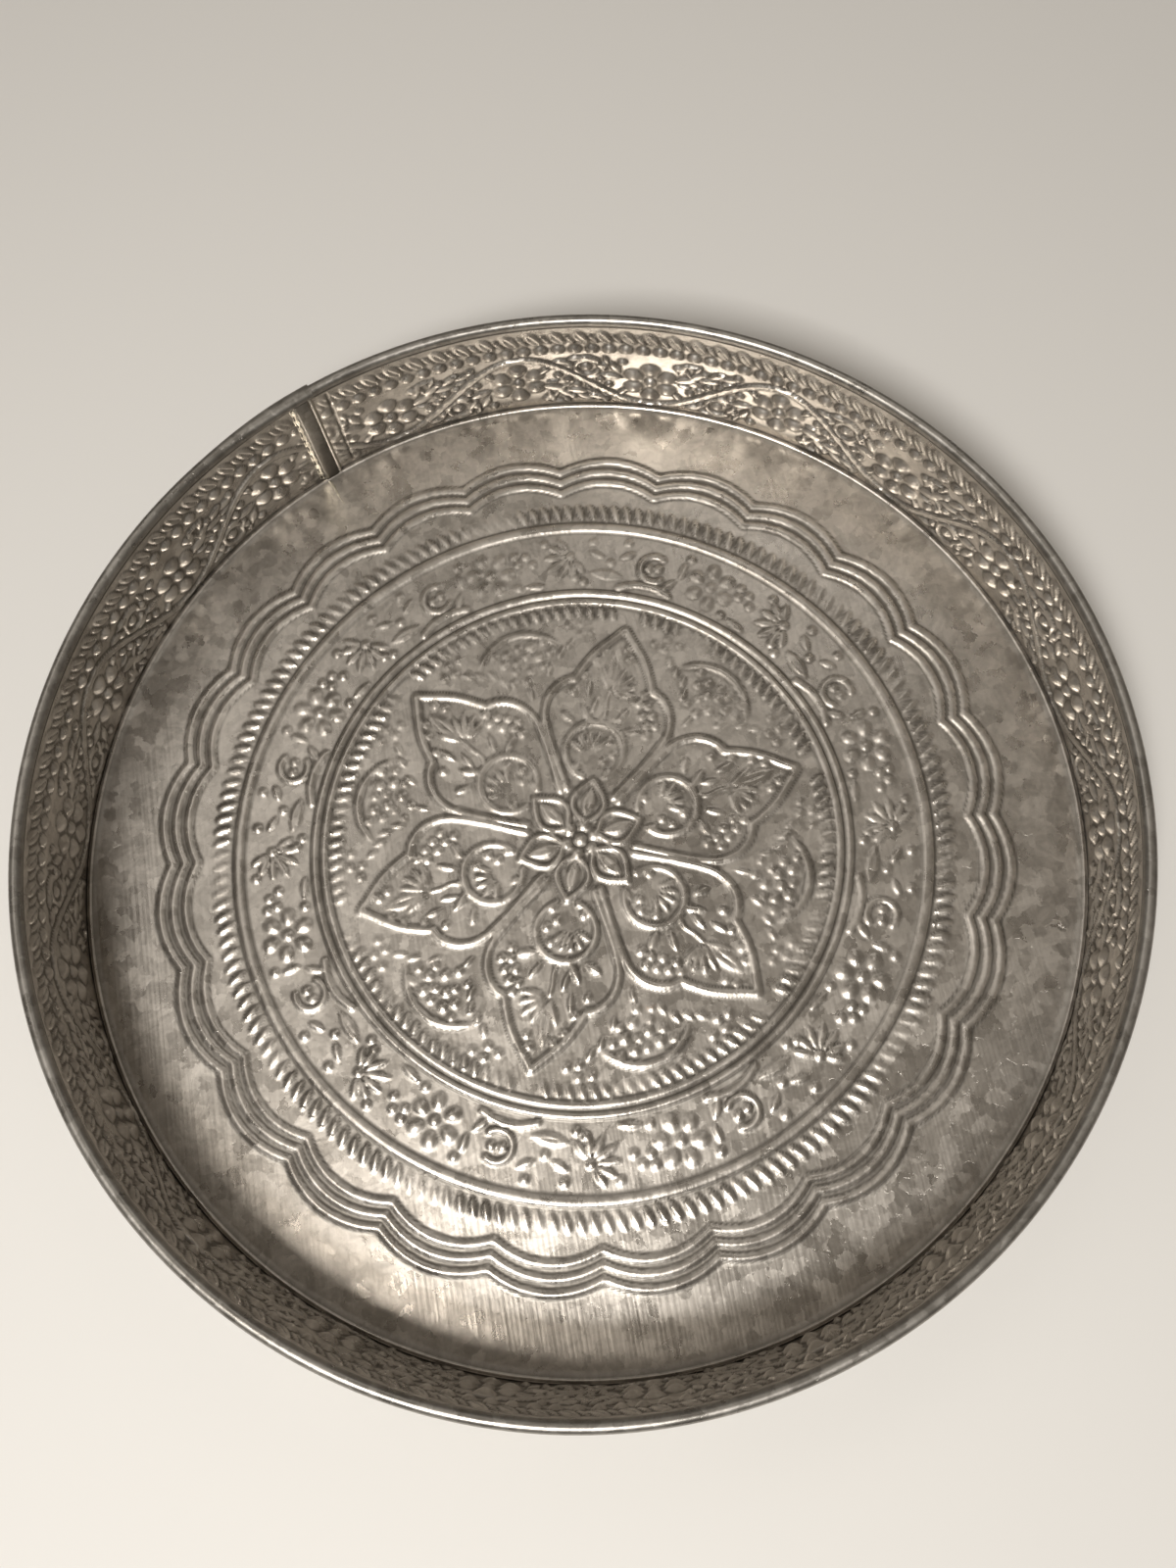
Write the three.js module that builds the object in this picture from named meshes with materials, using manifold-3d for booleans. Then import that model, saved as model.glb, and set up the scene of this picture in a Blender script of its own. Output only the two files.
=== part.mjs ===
// A round serving tray of embossed galvanised sheet, with a wired rim and a ring to hang it by.
// Millimetres, +Z up. The origin is the middle of the foot, on the table.

import * as THREE from 'three';
import { mergeVertices } from 'three/addons/utils/BufferGeometryUtils.js';
import Module from 'manifold-3d';

const wasm = await Module();
wasm.setup();

// Driving dimensions of the tray
const rimRadius = 250; // outside of the rolled rim
const trayHeight = 76; // table to the top of the rim
const sheet = 0.6; // galvanised sheet of the floor and the wall
const clearance = 0.3; // between pieces that are fitted together
const wireDiameter = 3; // wire inside the rim
const wireSides = 6; // as many as the rolled sheet has flats in a whole turn
const wireClearance = 0.4; // between the wire and the sheet rolled round it
const curlSweep = 300; // degrees of sheet round the wire
const curlSteps = 5;
const facets = 88; // flats round the tray, eight to each wave of the vine
const shoulderRadius = 3; // edge of the floor, where it turns down
const hemHeight = 3.1; // foot of the wall, folded up inside the skirt

// Pressed pattern of the floor
const patternAngle = 18.75; // turns the first leaf away from +X
const leaves = 6;
const scallops = 24;
const scallopSteps = 4; // flats along one scallop
const plainBorder = 33.4; // shoulder to the crests of the outer ridge
const scallopRise = 6.6;
const scallopRidges = 3;
const ridgePitch = 6.2;
const ridgeFoot = 2.3; // half the width of a ridge
const ridgeLift = 1.5;
const valleyLift = 0.3; // bottom of the grooves between the scalloped ridges
const outerHatchBand = 20.3; // innermost scalloped crest, at its lowest, to the outer ring
const flowerBand = 40; // outer ring to inner ring
const ringSteps = 48;
const ringFoot = 3.1; // half the width of a ring
const ringLift = 1.7;
const innerHatchBand = 16; // inner ring to the tips of the leaves
const leafNotch = 0.45; // place of the notch, as a share of half a leaf's angle
const leafNotchReach = 0.65; // its distance out, as a share of the leaf's length
const leafSideReach = 0.43; // where neighbouring leaves part
const leafTipBow = 0.85; // 1 would make the outline straight from notch to tip
const leafSideBow = 0.6; // the same for the rounded side of a leaf
const leafFoot = 3; // half the width of a leaf's outline, measured outwards
const leafRootGap = 1; // petals' outline to the first corners inside the leaves
const arcWidth = 0.38; // half an arc's angle, as a share of half a leaf's angle
const arcRise = 11;
const arcOutset = 2; // crest of the arc beyond the leaf tips
const arcLift = 1.4;
const medallionReach = 0.21; // centre of the round medallion in each leaf
const medallionRadius = 15.5;
const medallionLift = 1.4;
const petalTip = 31;
const petalValley = 13;
const petalBow = 0.62;
const petalHeart = 0.45; // place of a petal's raised middle, from its outline to the beads
const petalTaper = 1.6; // how fast that middle falls to the sides
const petalFoot = 2;
const petalLift = 1.3;
const beadCircle = 7; // six beads round the one in the middle
const beadLift = 2.1;
const beadFoot = 3.7;

// Pressed vine of the wall
const vineWaves = 11; // the first crest lies on +X
const vineFoot = 1.8;
const vineLift = 1.3;
const vineBottomMargin = 2; // floor to the lowest crest of the vine
const vineTopMargin = 26; // wire to its highest crest, past the rows of dashes and beads
const vineFade = 12; // plain stretch beside the seam, and again as much to the vine's full height

// Lock seam of the wall and the lap of the rim
const seamAngle = 124; // middle of the seam's band
const seamWidth = 6.5;
const seamGap = 0.15; // between the folded layers
const seamHookShort = 1; // how far the inner hook stops short of the fold
const seamFoldInset = 0.7; // second edge of the band to the fold that is hooked in under it
const seamStepRun = 1.5; // slope from the band down to the wall
const seamStepStart = 0.8; // where the wall's end lies under that slope, as a share of it
const slopeTopInset = 0.4; // how far the slope's inside lies back from its outside, at the top
const slopeFootInset = 0.5; // and at its foot
const seamFootGap = 0.6; // floor to the foot of the band
const seamHeadGap = 3.2; // wire to the head of the band
const lapReach = 4.2; // rim sheath beyond the band
const lapSteps = 4;
const lapRoot = 1; // sheath's lap past the foot of the slope
const lapSkin = 0.05; // by which the lap is thinner than the sheath that it runs out of
const flareLength = 60; // along which the sheath widens to the lap
const tongue = 1.6; // depth by which a fold is rooted in the wall
const tongueInset = 0.1;
const solderWidth = 1.7; // along the wall, from the foot of the slope
const solderHeight = 1.5; // inwards, over the foot of the slope
const solderShoulder = 0.8; // place of its rounded shoulder, as a share of its width
const solderGap = 0.2;

// Hanger on the outside of the wall
const hangerWire = 2.2;
const hangerBore = 30;
const hangerSteps = 24;
const hangerSides = 8;
const hangerClearance = 0.25;
const strapSheet = 0.6;
const strapWidth = 6;
const strapLength = 10; // below the eye
const strapDrop = 10; // wire of the rim to the middle of the eye
const eyeSteps = 14;
const eyeStart = -90; // degrees, where the front of the strap runs into its eye
const padWidth = 2.4;
const padDrop = 1; // foot of the eye to the top of the solder
const padThickness = 0.9;

// Worked out from the driving dimensions
const facetAngle = 360 / facets;
const sliver = facetAngle / 12; // corners of the wall are at least this far apart
const floorHeight = hemHeight + clearance + shoulderRadius;
const curlInner = wireDiameter / 2 + wireClearance;
const curlOuter = curlInner + sheet;
const wireRadius = rimRadius - curlOuter;
const wireHeight = trayHeight - curlOuter;
const wallInner = wireRadius - curlOuter;
const wallOuter = wallInner + sheet;
const skirtOuter = wallInner - clearance;
const skirtInner = skirtOuter - sheet;
const skirtFoot = sheet + clearance;
const hemOuter = skirtInner - clearance;
const hemInner = hemOuter - sheet;
const flatRadius = skirtOuter - shoulderRadius;
const halfLeaf = 180 / leaves;
const medallionCrest = medallionRadius / 2; // corners inside the medallion lie this far from its middle
const scallopCrest = flatRadius - plainBorder;
const outerRing = scallopCrest - scallopRise - (scallopRidges - 1) * ridgePitch - outerHatchBand;
const innerRing = outerRing - flowerBand;
const leafTip = innerRing - innerHatchBand;
const leafLength = leafTip - petalTip;
const layer = sheet + seamGap;
const bandTop = 3 * layer;
const bandRoot = seamWidth + seamStepRun;
const innerFold = seamWidth - seamFoldInset;
const seamBottom = floorHeight + seamFootGap;
const seamTop = wireHeight - seamHeadGap;
const degreesPerMm = 180 / Math.PI / wallInner;

const radians = THREE.MathUtils.degToRad;
const mix = THREE.MathUtils.lerp;

// Angle of a place on the seam's band, in millimetres along the wall from the band's first edge
function bandAngle(along) {
  return seamAngle + (along - seamWidth / 2) * degreesPerMm;
}

function polar(angle, radius, z) {
  return [radius * Math.cos(radians(angle)), radius * Math.sin(radians(angle)), z];
}

function geometryOf(points, triangles) {
  const geometry = new THREE.BufferGeometry();
  geometry.setAttribute('position', new THREE.Float32BufferAttribute(points.flat(), 3));
  geometry.setIndex(triangles.flat());
  return geometry;
}

// A closed mesh with shared corners, ready to be joined or cut
function solidOf(geometry) {
  const bare = geometry.clone();
  bare.deleteAttribute('normal');
  bare.deleteAttribute('uv');
  const merged = mergeVertices(bare, 1e-4);
  return new wasm.Manifold(new wasm.Mesh({
    numProp: 3,
    vertProperties: new Float32Array(merged.attributes.position.array),
    triVerts: new Uint32Array(merged.index.array),
  }));
}

function geometryFrom(solid) {
  const mesh = solid.getMesh();
  const geometry = new THREE.BufferGeometry();
  geometry.setAttribute('position', new THREE.BufferAttribute(mesh.vertProperties, 3));
  geometry.setIndex(new THREE.BufferAttribute(mesh.triVerts, 1));
  return geometry;
}

// Triangles between two rings of corners that start at the same angle. Each ring has the
// number of its first corner and the angles of all its corners.
function stitch(near, far) {
  const triangles = [];
  const corner = (ring, k) => ring.first + (k % ring.angles.length);
  const angle = (ring, k) => (k < ring.angles.length ? ring.angles[k] : ring.angles[0] + 360);
  const lastOf = (ring) => (ring.angles.length > 1 ? ring.angles.length : 0);
  let i = 0;
  let j = 0;
  while (i < lastOf(near) || j < lastOf(far)) {
    const nearNext = i < lastOf(near) ? angle(near, i + 1) : Infinity;
    const farNext = j < lastOf(far) ? angle(far, j + 1) : Infinity;
    if (farNext <= nearNext) {
      triangles.push([corner(near, i), corner(far, j), corner(far, j + 1)]);
      j += 1;
    } else {
      triangles.push([corner(near, i), corner(far, j), corner(near, i + 1)]);
      i += 1;
    }
  }
  return triangles;
}

// The same closed section, in radius and height, carried through the given angles.
// A section goes anticlockwise when seen along the sweep.
function sweep(angles, sectionAt, closed) {
  const sections = angles.map((angle) => sectionAt(angle));
  const count = sections[0].length;
  const points = sections.flatMap((section, k) => section.map((p) => polar(angles[k], p.x, p.y)));
  const triangles = [];
  const spans = closed ? angles.length : angles.length - 1;
  for (let k = 0; k < spans; k += 1) {
    const here = k * count;
    const next = ((k + 1) % angles.length) * count;
    for (let i = 0; i < count; i += 1) {
      const after = (i + 1) % count;
      triangles.push([here + i, next + i, next + after], [here + i, next + after, here + after]);
    }
  }
  if (!closed) {
    const last = (angles.length - 1) * count;
    for (const [a, b, c] of THREE.ShapeUtils.triangulateShape(sections[0], [])) {
      triangles.push([a, b, c]);
    }
    for (const [a, b, c] of THREE.ShapeUtils.triangulateShape(sections.at(-1), [])) {
      triangles.push([last + a, last + c, last + b]);
    }
  }
  return geometryOf(points, triangles);
}

// Angles of a ring's corners, from the same half list in every leaf's sector
function sectorAngles(halfAngles) {
  const inner = halfAngles.slice(1).map((angle) => -angle).reverse();
  const sector = [-halfLeaf, ...inner, ...halfAngles];
  const angles = [];
  for (let leaf = 0; leaf < leaves; leaf += 1) {
    angles.push(...sector.map((angle) => angle + leaf * 2 * halfLeaf));
  }
  return angles;
}

function evenAngles(count) {
  return Array.from({ length: count }, (_, k) => -halfLeaf + (k * 360) / count);
}

// The corners of the tray's round, seen from the first leaf. One of them lies on +X.
function edgeAngles() {
  const first = Math.round((patternAngle - halfLeaf) / facetAngle);
  return Array.from({ length: facets }, (_, k) => (first + k) * facetAngle - patternAngle);
}

// Angle from the axis of the nearest leaf, as a share of half a leaf: 0 on the axis, 1 between
function leafShare(angle) {
  const turn = ((angle % (2 * halfLeaf)) + 2 * halfLeaf) % (2 * halfLeaf);
  return Math.min(turn, 2 * halfLeaf - turn) / halfLeaf;
}

function leafEdge(share) {
  const notch = petalTip + leafLength * leafNotchReach;
  const side = petalTip + leafLength * leafSideReach;
  if (share <= leafNotch) return mix(notch, leafTip, (1 - share / leafNotch) ** leafTipBow);
  return mix(side, notch, ((1 - share) / (1 - leafNotch)) ** leafSideBow);
}

function petalEdge(share) {
  return mix(petalValley, petalTip, (1 - share) ** petalBow);
}

// The arc between two leaves, led on round the tip of each leaf
function arcEdge(share) {
  const crest = leafTip + arcOutset;
  const fromMiddle = (1 - share) / arcWidth;
  if (fromMiddle <= 1) return crest - arcRise * fromMiddle ** 2;
  const rest = (1 - arcWidth - share) / (1 - arcWidth);
  return mix(crest - arcRise, leafTip + 2 * leafFoot, rest);
}

function scallopEdge(angle) {
  const pitch = 360 / scallops;
  const along = (((angle % pitch) + pitch) % pitch) / pitch;
  return scallopCrest - scallopRise * (2 * along - 1) ** 2;
}

function medallion(radius, share) {
  const centre = petalTip + leafLength * medallionReach;
  const across = radius * Math.sin(radians(share * halfLeaf));
  const away = Math.hypot(radius - centre, across) / medallionRadius;
  return medallionLift * Math.max(0, 1 - away ** 2);
}

// One ring of the floor: where its corners lie and how far they are raised
function floorRing(angles, radiusAt, liftAt) {
  return angles.map((angle) => {
    const radius = radiusAt(angle);
    const z = floorHeight + liftAt(angle, radius);
    return { angle, top: [radius, z], under: [radius, z - sheet] };
  });
}

function ridgeRings(angles, edge, foot, liftAt) {
  const low = () => 0;
  return [
    floorRing(angles, (angle) => edge(angle) - foot, low),
    floorRing(angles, edge, liftAt),
    floorRing(angles, (angle) => edge(angle) + foot, low),
  ];
}

function beadRings() {
  const angles = evenAngles(2 * leaves);
  const onBead = (angle) => leafShare(angle) < 0.5;
  return [
    floorRing([0], () => 0, () => beadLift),
    floorRing(angles, () => beadCircle / 2, () => beadLift / 3),
    floorRing(angles, () => beadCircle, (angle) => (onBead(angle) ? beadLift : beadLift / 3)),
    floorRing(angles, () => beadCircle + beadFoot, () => 0),
  ];
}

function petalRings(angles) {
  const heart = (angle) => mix(petalEdge(leafShare(angle)), beadCircle + beadFoot, petalHeart);
  const outline = ridgeRings(angles, (angle) => petalEdge(leafShare(angle)), petalFoot, () => petalLift);
  const lift = (angle) => petalLift * Math.max(0, 1 - petalTaper * leafShare(angle));
  return [floorRing(angles, heart, lift), ...outline];
}

// Inside the leaves: the ridges between neighbours and the round medallions
function leafRings(angles) {
  const between = (angle) => (leafShare(angle) === 1 ? ridgeLift : 0);
  const lift = (angle, radius) => between(angle) + medallion(radius, leafShare(angle));
  const start = petalTip + petalFoot + leafRootGap;
  const centre = petalTip + leafLength * medallionReach;
  const reach = [start, centre - medallionCrest, centre, centre + medallionRadius];
  return reach.map((radius) => floorRing(angles, () => radius, lift));
}

function leafOutline(angles) {
  const rings = ridgeRings(angles, (angle) => leafEdge(leafShare(angle)), leafFoot, () => ridgeLift);
  const joined = (corner) => leafShare(corner.angle) === 1;
  for (const corner of rings[0].filter(joined)) {
    corner.top[1] += ridgeLift;
    corner.under[1] += ridgeLift;
  }
  return rings;
}

function arcRings(angles) {
  const lift = (angle) => (1 - leafShare(angle) < arcWidth ? arcLift : 0);
  return ridgeRings(angles, (angle) => arcEdge(leafShare(angle)), ridgeFoot, lift);
}

function scallopRings(angles) {
  const rings = [];
  for (let ridge = scallopRidges - 1; ridge >= 0; ridge -= 1) {
    const edge = (angle) => scallopEdge(angle) - ridge * ridgePitch;
    const start = ridge === scallopRidges - 1 ? ridgeFoot : ridgePitch / 2;
    const startLift = ridge === scallopRidges - 1 ? 0 : valleyLift;
    rings.push(floorRing(angles, (angle) => edge(angle) - start, () => startLift));
    rings.push(floorRing(angles, edge, () => ridgeLift));
  }
  rings.push(floorRing(angles, (angle) => scallopEdge(angle) + ridgeFoot, () => 0));
  return rings;
}

// The floor's edge turns down into a skirt
function shoulderRings(angles) {
  const centre = floorHeight - shoulderRadius;
  const at = (tilt) => angles.map((angle) => {
    const sine = Math.sin(radians(tilt));
    const cosine = Math.cos(radians(tilt));
    const inside = shoulderRadius - sheet;
    return {
      angle,
      top: [flatRadius + shoulderRadius * sine, centre + shoulderRadius * cosine],
      under: [flatRadius + inside * sine, centre + inside * cosine],
    };
  });
  const foot = angles.map((angle) => {
    return { angle, top: [skirtOuter, skirtFoot], under: [skirtInner, skirtFoot] };
  });
  return [at(0), at(45), at(90), foot];
}

// The pressed floor, one sheet of even thickness
function floorGeometry() {
  const quarter = halfLeaf / 3;
  const inner = sectorAngles([0, quarter, 2 * quarter, 2.75 * quarter]);
  const notch = leafNotch * halfLeaf;
  const toNotch = [0, 0.25, 0.5, 0.75].map((share) => share * notch);
  const pastNotch = [0, 0.3, 0.65].map((share) => mix(notch, halfLeaf, share));
  const outline = sectorAngles([...toNotch, ...pastNotch]);
  const arcEnd = (1 - arcWidth) * halfLeaf;
  const arcs = sectorAngles([0, arcEnd / 2, arcEnd, mix(arcEnd, halfLeaf, 0.5)]);
  const ringAngles = evenAngles(ringSteps);
  const ringLifts = () => ringLift;
  const rings = [
    ...beadRings(),
    ...petalRings(inner),
    ...leafRings(inner),
    ...leafOutline(outline),
    ...arcRings(arcs),
    ...ridgeRings(ringAngles, () => innerRing, ringFoot, ringLifts),
    ...ridgeRings(ringAngles, () => outerRing, ringFoot, ringLifts),
    ...scallopRings(evenAngles(scallops * scallopSteps)),
    ...shoulderRings(edgeAngles()),
  ];
  const points = [];
  const marks = [];
  for (const ring of rings) {
    marks.push({ first: points.length, angles: ring.map((corner) => corner.angle) });
    for (const { angle, top } of ring) points.push(polar(angle + patternAngle, ...top));
  }
  const under = points.length;
  for (const ring of rings) {
    for (const corner of ring) points.push(polar(corner.angle + patternAngle, ...corner.under));
  }
  const triangles = [];
  for (let k = 1; k < marks.length; k += 1) {
    for (const [a, b, c] of stitch(marks[k - 1], marks[k])) {
      triangles.push([a, b, c], [under + a, under + c, under + b]);
    }
  }
  const edge = marks.at(-1);
  triangles.push(...stitch(edge, { first: under + edge.first, angles: edge.angles }));
  return geometryOf(points, triangles);
}

// Height of the vine's crest at an angle round the wall
function vineAt(angle) {
  const bottom = floorHeight + vineBottomMargin;
  const top = wireHeight - vineTopMargin;
  return mix(bottom, top, 0.5 + 0.5 * Math.cos(radians(angle * vineWaves)));
}

// The vine sinks into the plain sheet beside the seam
function vineLiftAt(angle) {
  const fromSeam = Math.min(angle - seamAngle, seamAngle + 360 - angle) / degreesPerMm;
  return vineLift * THREE.MathUtils.clamp(fromSeam / vineFade - 1, 0, 1);
}

// How much wider the rim's sheath is where it will lap over its other end
function flareAt(angle) {
  const along = (angle - bandAngle(seamWidth)) / (flareLength * degreesPerMm);
  return layer * THREE.MathUtils.clamp(1 - along, 0, 1);
}

function curlArc(radius, steps) {
  return Array.from({ length: steps + 1 }, (_, k) => {
    const turn = radians(180 - (k * curlSweep) / steps);
    return new THREE.Vector2(wireRadius + radius * Math.cos(turn), wireHeight + radius * Math.sin(turn));
  });
}

function wallSection(angle) {
  const flare = flareAt(angle);
  const vine = vineAt(angle);
  const zone = [vine - vineFoot, vine, vine + vineFoot, seamTop];
  const raised = (k) => (k === 1 ? vineLiftAt(angle) : 0);
  const outside = zone.map((z, k) => new THREE.Vector2(wallOuter - raised(k), z));
  const inside = zone.map((z, k) => new THREE.Vector2(wallInner - raised(k), z)).reverse();
  return [
    new THREE.Vector2(hemInner, hemHeight),
    new THREE.Vector2(hemInner, 0),
    new THREE.Vector2(wallOuter, 0),
    ...outside,
    ...curlArc(curlInner + flare, curlSteps),
    ...curlArc(curlOuter + flare, curlSteps).reverse(),
    ...inside,
    new THREE.Vector2(wallInner, sheet),
    new THREE.Vector2(hemOuter, sheet),
    new THREE.Vector2(hemOuter, hemHeight),
  ];
}

// Corners of the wall: the flats of the floor's edge, and a few more beside the seam
function wallAngles() {
  const start = bandAngle(seamWidth + seamStepStart * seamStepRun);
  const end = bandAngle(seamWidth - 2 * layer - seamGap) + 360;
  const rooted = bandAngle(seamWidth + 2 * seamStepRun + tongue);
  const beside = [start, rooted, bandAngle(-lapReach) + 360, bandAngle(0) + 360, end];
  const flats = Array.from({ length: 2 * facets }, (_, k) => k * facetAngle);
  const apart = (angle) => beside.every((other) => Math.abs(other - angle) > sliver);
  const between = flats.filter((angle) => angle > start && angle < end && apart(angle));
  return [...beside, ...between].sort((a, b) => a - b);
}

// A closed outline in the seam's own plane, along the wall and inwards, raised to a prism
function seamPrism(corners, bottom, top) {
  const shape = new THREE.Shape(corners.map(([along, inwards]) => new THREE.Vector2(along, inwards)));
  const geometry = new THREE.ExtrudeGeometry(shape, { depth: top - bottom, bevelEnabled: false });
  const angle = radians(seamAngle);
  const along = new THREE.Vector3(-Math.sin(angle), Math.cos(angle), 0);
  const inwards = new THREE.Vector3(-Math.cos(angle), -Math.sin(angle), 0);
  const frame = new THREE.Matrix4().makeBasis(along, inwards, new THREE.Vector3(0, 0, 1));
  const place = inwards.clone().multiplyScalar(-wallInner).addScaledVector(along, -seamWidth / 2);
  frame.setPosition(place.setZ(bottom));
  return geometry.applyMatrix4(frame);
}

// The two ends of the wall, folded and hooked into each other inside the band
function upperHook() {
  const hookEnd = innerFold - sheet - seamGap * 2;
  return seamPrism([
    [bandRoot + tongue, -tongueInset],
    [bandRoot, -tongueInset],
    [seamWidth, bandTop],
    [0, bandTop],
    [0, seamGap],
    [hookEnd, seamGap],
    [hookEnd, layer],
    [sheet, layer],
    [sheet, bandTop - sheet],
    [seamWidth - slopeTopInset, bandTop - sheet],
    [bandRoot - slopeFootInset, tongueInset - sheet],
    [bandRoot + tongue, tongueInset - sheet],
  ].reverse(), seamBottom, seamTop);
}

function lowerHook() {
  const wallEnd = innerFold - 2 * sheet;
  return seamPrism([
    [wallEnd - tongue, -tongueInset],
    [wallEnd, -tongueInset],
    [wallEnd, 0],
    [innerFold - sheet, 0],
    [innerFold - sheet, layer + seamGap],
    [seamHookShort, layer + seamGap],
    [seamHookShort, 2 * layer],
    [innerFold, 2 * layer],
    [innerFold, -sheet],
    [wallEnd, -sheet],
    [wallEnd, tongueInset - sheet],
    [wallEnd - tongue, tongueInset - sheet],
  ].reverse(), seamBottom, seamTop);
}

// The rim's sheath, carried past the band and over its other end, down to the head of the band
function lapGeometry() {
  const end = bandAngle(-lapReach);
  const rooted = bandAngle(bandRoot + lapRoot);
  const angles = Array.from({ length: lapSteps + 1 }, (_, k) => mix(end, rooted, k / lapSteps));
  const inner = curlInner + layer + lapSkin;
  const outer = curlOuter + layer - lapSkin;
  const section = () => [
    new THREE.Vector2(wireRadius - inner, seamTop - lapSkin),
    ...curlArc(inner, curlSteps),
    ...curlArc(outer, curlSteps).reverse(),
    new THREE.Vector2(wireRadius - outer, seamTop - lapSkin),
  ];
  return sweep(angles, section, false);
}

function wallGeometry() {
  const strip = sweep(wallAngles(), wallSection, false);
  const parts = [strip, upperHook(), lowerHook(), lapGeometry()];
  return geometryFrom(wasm.Manifold.union(parts.map(solidOf)));
}

function wireGeometry() {
  const section = Array.from({ length: wireSides }, (_, k) => {
    const turn = (k * 2 * Math.PI) / wireSides;
    const radius = wireDiameter / 2;
    return new THREE.Vector2(wireRadius + radius * Math.cos(turn), wireHeight + radius * Math.sin(turn));
  });
  const angles = Array.from({ length: facets }, (_, k) => k * facetAngle);
  return sweep(angles, () => section, true);
}

// A fillet of solder in the corner between the band and the wall
function seamSolderGeometry() {
  return seamPrism([
    [bandRoot - seamStepRun / 2 + solderGap, bandTop / 2 + solderGap],
    [bandRoot + solderGap, solderGap],
    [bandRoot + solderWidth, solderGap],
    [bandRoot + solderShoulder * solderWidth, solderHeight / 2],
    [bandRoot + solderWidth - solderShoulder * solderHeight, solderHeight],
  ], seamBottom, seamTop - clearance);
}

// The ring's wire bows across the width of the strap, and the hinge lies in the middle of that bow
const hangerRadius = (hangerBore + hangerWire) / 2;
const hangerBow = hangerRadius - Math.sqrt(hangerRadius ** 2 - (strapWidth / 2) ** 2);
const eyeInner = hangerWire / 2 + hangerClearance + hangerBow / 2;
const eyeOuter = eyeInner + strapSheet;
const strapBack = wallOuter + clearance;
const eyePlace = new THREE.Vector3(0, strapBack + eyeOuter, wireHeight - strapDrop);
const strapFoot = eyePlace.z - eyeOuter - strapLength;

// The strap: a strip folded in two round the wire, with both ends soldered to the wall
function strapGeometry() {
  const shape = new THREE.Shape();
  shape.moveTo(0, strapFoot);
  shape.lineTo(2 * strapSheet, strapFoot);
  shape.lineTo(2 * strapSheet, eyePlace.z - eyeOuter);
  for (let k = 0; k <= eyeSteps; k += 1) {
    const turn = radians(mix(eyeStart, 180, k / eyeSteps));
    shape.lineTo(eyeOuter + eyeOuter * Math.cos(turn), eyePlace.z + eyeOuter * Math.sin(turn));
  }
  const eye = new THREE.Path();
  eye.absarc(eyeOuter, eyePlace.z, eyeInner, 0, 2 * Math.PI, true);
  shape.holes.push(eye);
  const options = { depth: strapWidth, bevelEnabled: false, curveSegments: eyeSteps };
  const geometry = new THREE.ExtrudeGeometry(shape, options);
  const outwards = new THREE.Vector3(0, 1, 0);
  const up = new THREE.Vector3(0, 0, 1);
  const frame = new THREE.Matrix4().makeBasis(outwards, up, new THREE.Vector3(1, 0, 0));
  frame.setPosition(-strapWidth / 2, strapBack, 0);
  return geometry.applyMatrix4(frame);
}

// Solder run round the foot of the strap
function padGeometry() {
  const near = strapWidth / 2 + clearance;
  const far = near + padWidth;
  const top = eyePlace.z - eyeOuter - padDrop;
  const shape = new THREE.Shape([
    new THREE.Vector2(-far, strapFoot - clearance - padWidth / 2),
    new THREE.Vector2(padWidth / 2 - far, strapFoot - clearance - padWidth),
    new THREE.Vector2(far - padWidth / 2, strapFoot - clearance - padWidth),
    new THREE.Vector2(far, strapFoot - clearance - padWidth / 2),
    new THREE.Vector2(far, top - padWidth),
    new THREE.Vector2(near, top),
    new THREE.Vector2(near, strapFoot - clearance),
    new THREE.Vector2(-near, strapFoot - clearance),
    new THREE.Vector2(-near, top),
    new THREE.Vector2(-far, top - padWidth),
  ]);
  const geometry = new THREE.ExtrudeGeometry(shape, { depth: padThickness, bevelEnabled: false });
  geometry.rotateX(Math.PI / 2);
  return geometry.translate(0, strapBack + padThickness, 0);
}

function ringGeometry() {
  const geometry = new THREE.TorusGeometry(hangerRadius, hangerWire / 2, hangerSides, hangerSteps);
  geometry.rotateX(Math.PI / 2);
  geometry.rotateY(Math.PI / hangerSteps);
  geometry.translate(0, eyePlace.y, eyePlace.z - hangerRadius + hangerBow / 2);
  geometry.deleteAttribute('normal');
  geometry.deleteAttribute('uv');
  return mergeVertices(geometry, 1e-4);
}

function metal(color, roughness) {
  return new THREE.MeshStandardMaterial({ color, roughness, metalness: 0.9, flatShading: true });
}

const zincFloor = metal('#8d8981', 0.42);
const zincWall = metal('#8a867e', 0.45);
const wireSteel = metal('#6f6c68', 0.5);
const solder = metal('#b3b0a9', 0.35);
const hangerSteel = metal('#85817a', 0.45);

const tray = new THREE.Group();

function piece(name, geometry, material) {
  const mesh = new THREE.Mesh(geometry, material);
  mesh.name = name;
  tray.add(mesh);
}

piece('base_disc', floorGeometry(), zincFloor);
piece('side_wall', wallGeometry(), zincWall);
piece('rim_wire', wireGeometry(), wireSteel);
piece('seam_solder', seamSolderGeometry(), solder);
piece('hanger_strap', strapGeometry(), hangerSteel);
piece('strap_solder', padGeometry(), solder);
piece('hanger_ring', ringGeometry(), hangerSteel);

export default tray;
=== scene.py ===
"""The dressed model of a round serving tray of embossed galvanised sheet, in metres, +Z up.

Sizes are written in millimetres and turned into metres where a mesh is made.
"""

import logging
import math
from dataclasses import dataclass, field
from enum import Enum
from typing import Iterable, Optional

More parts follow.
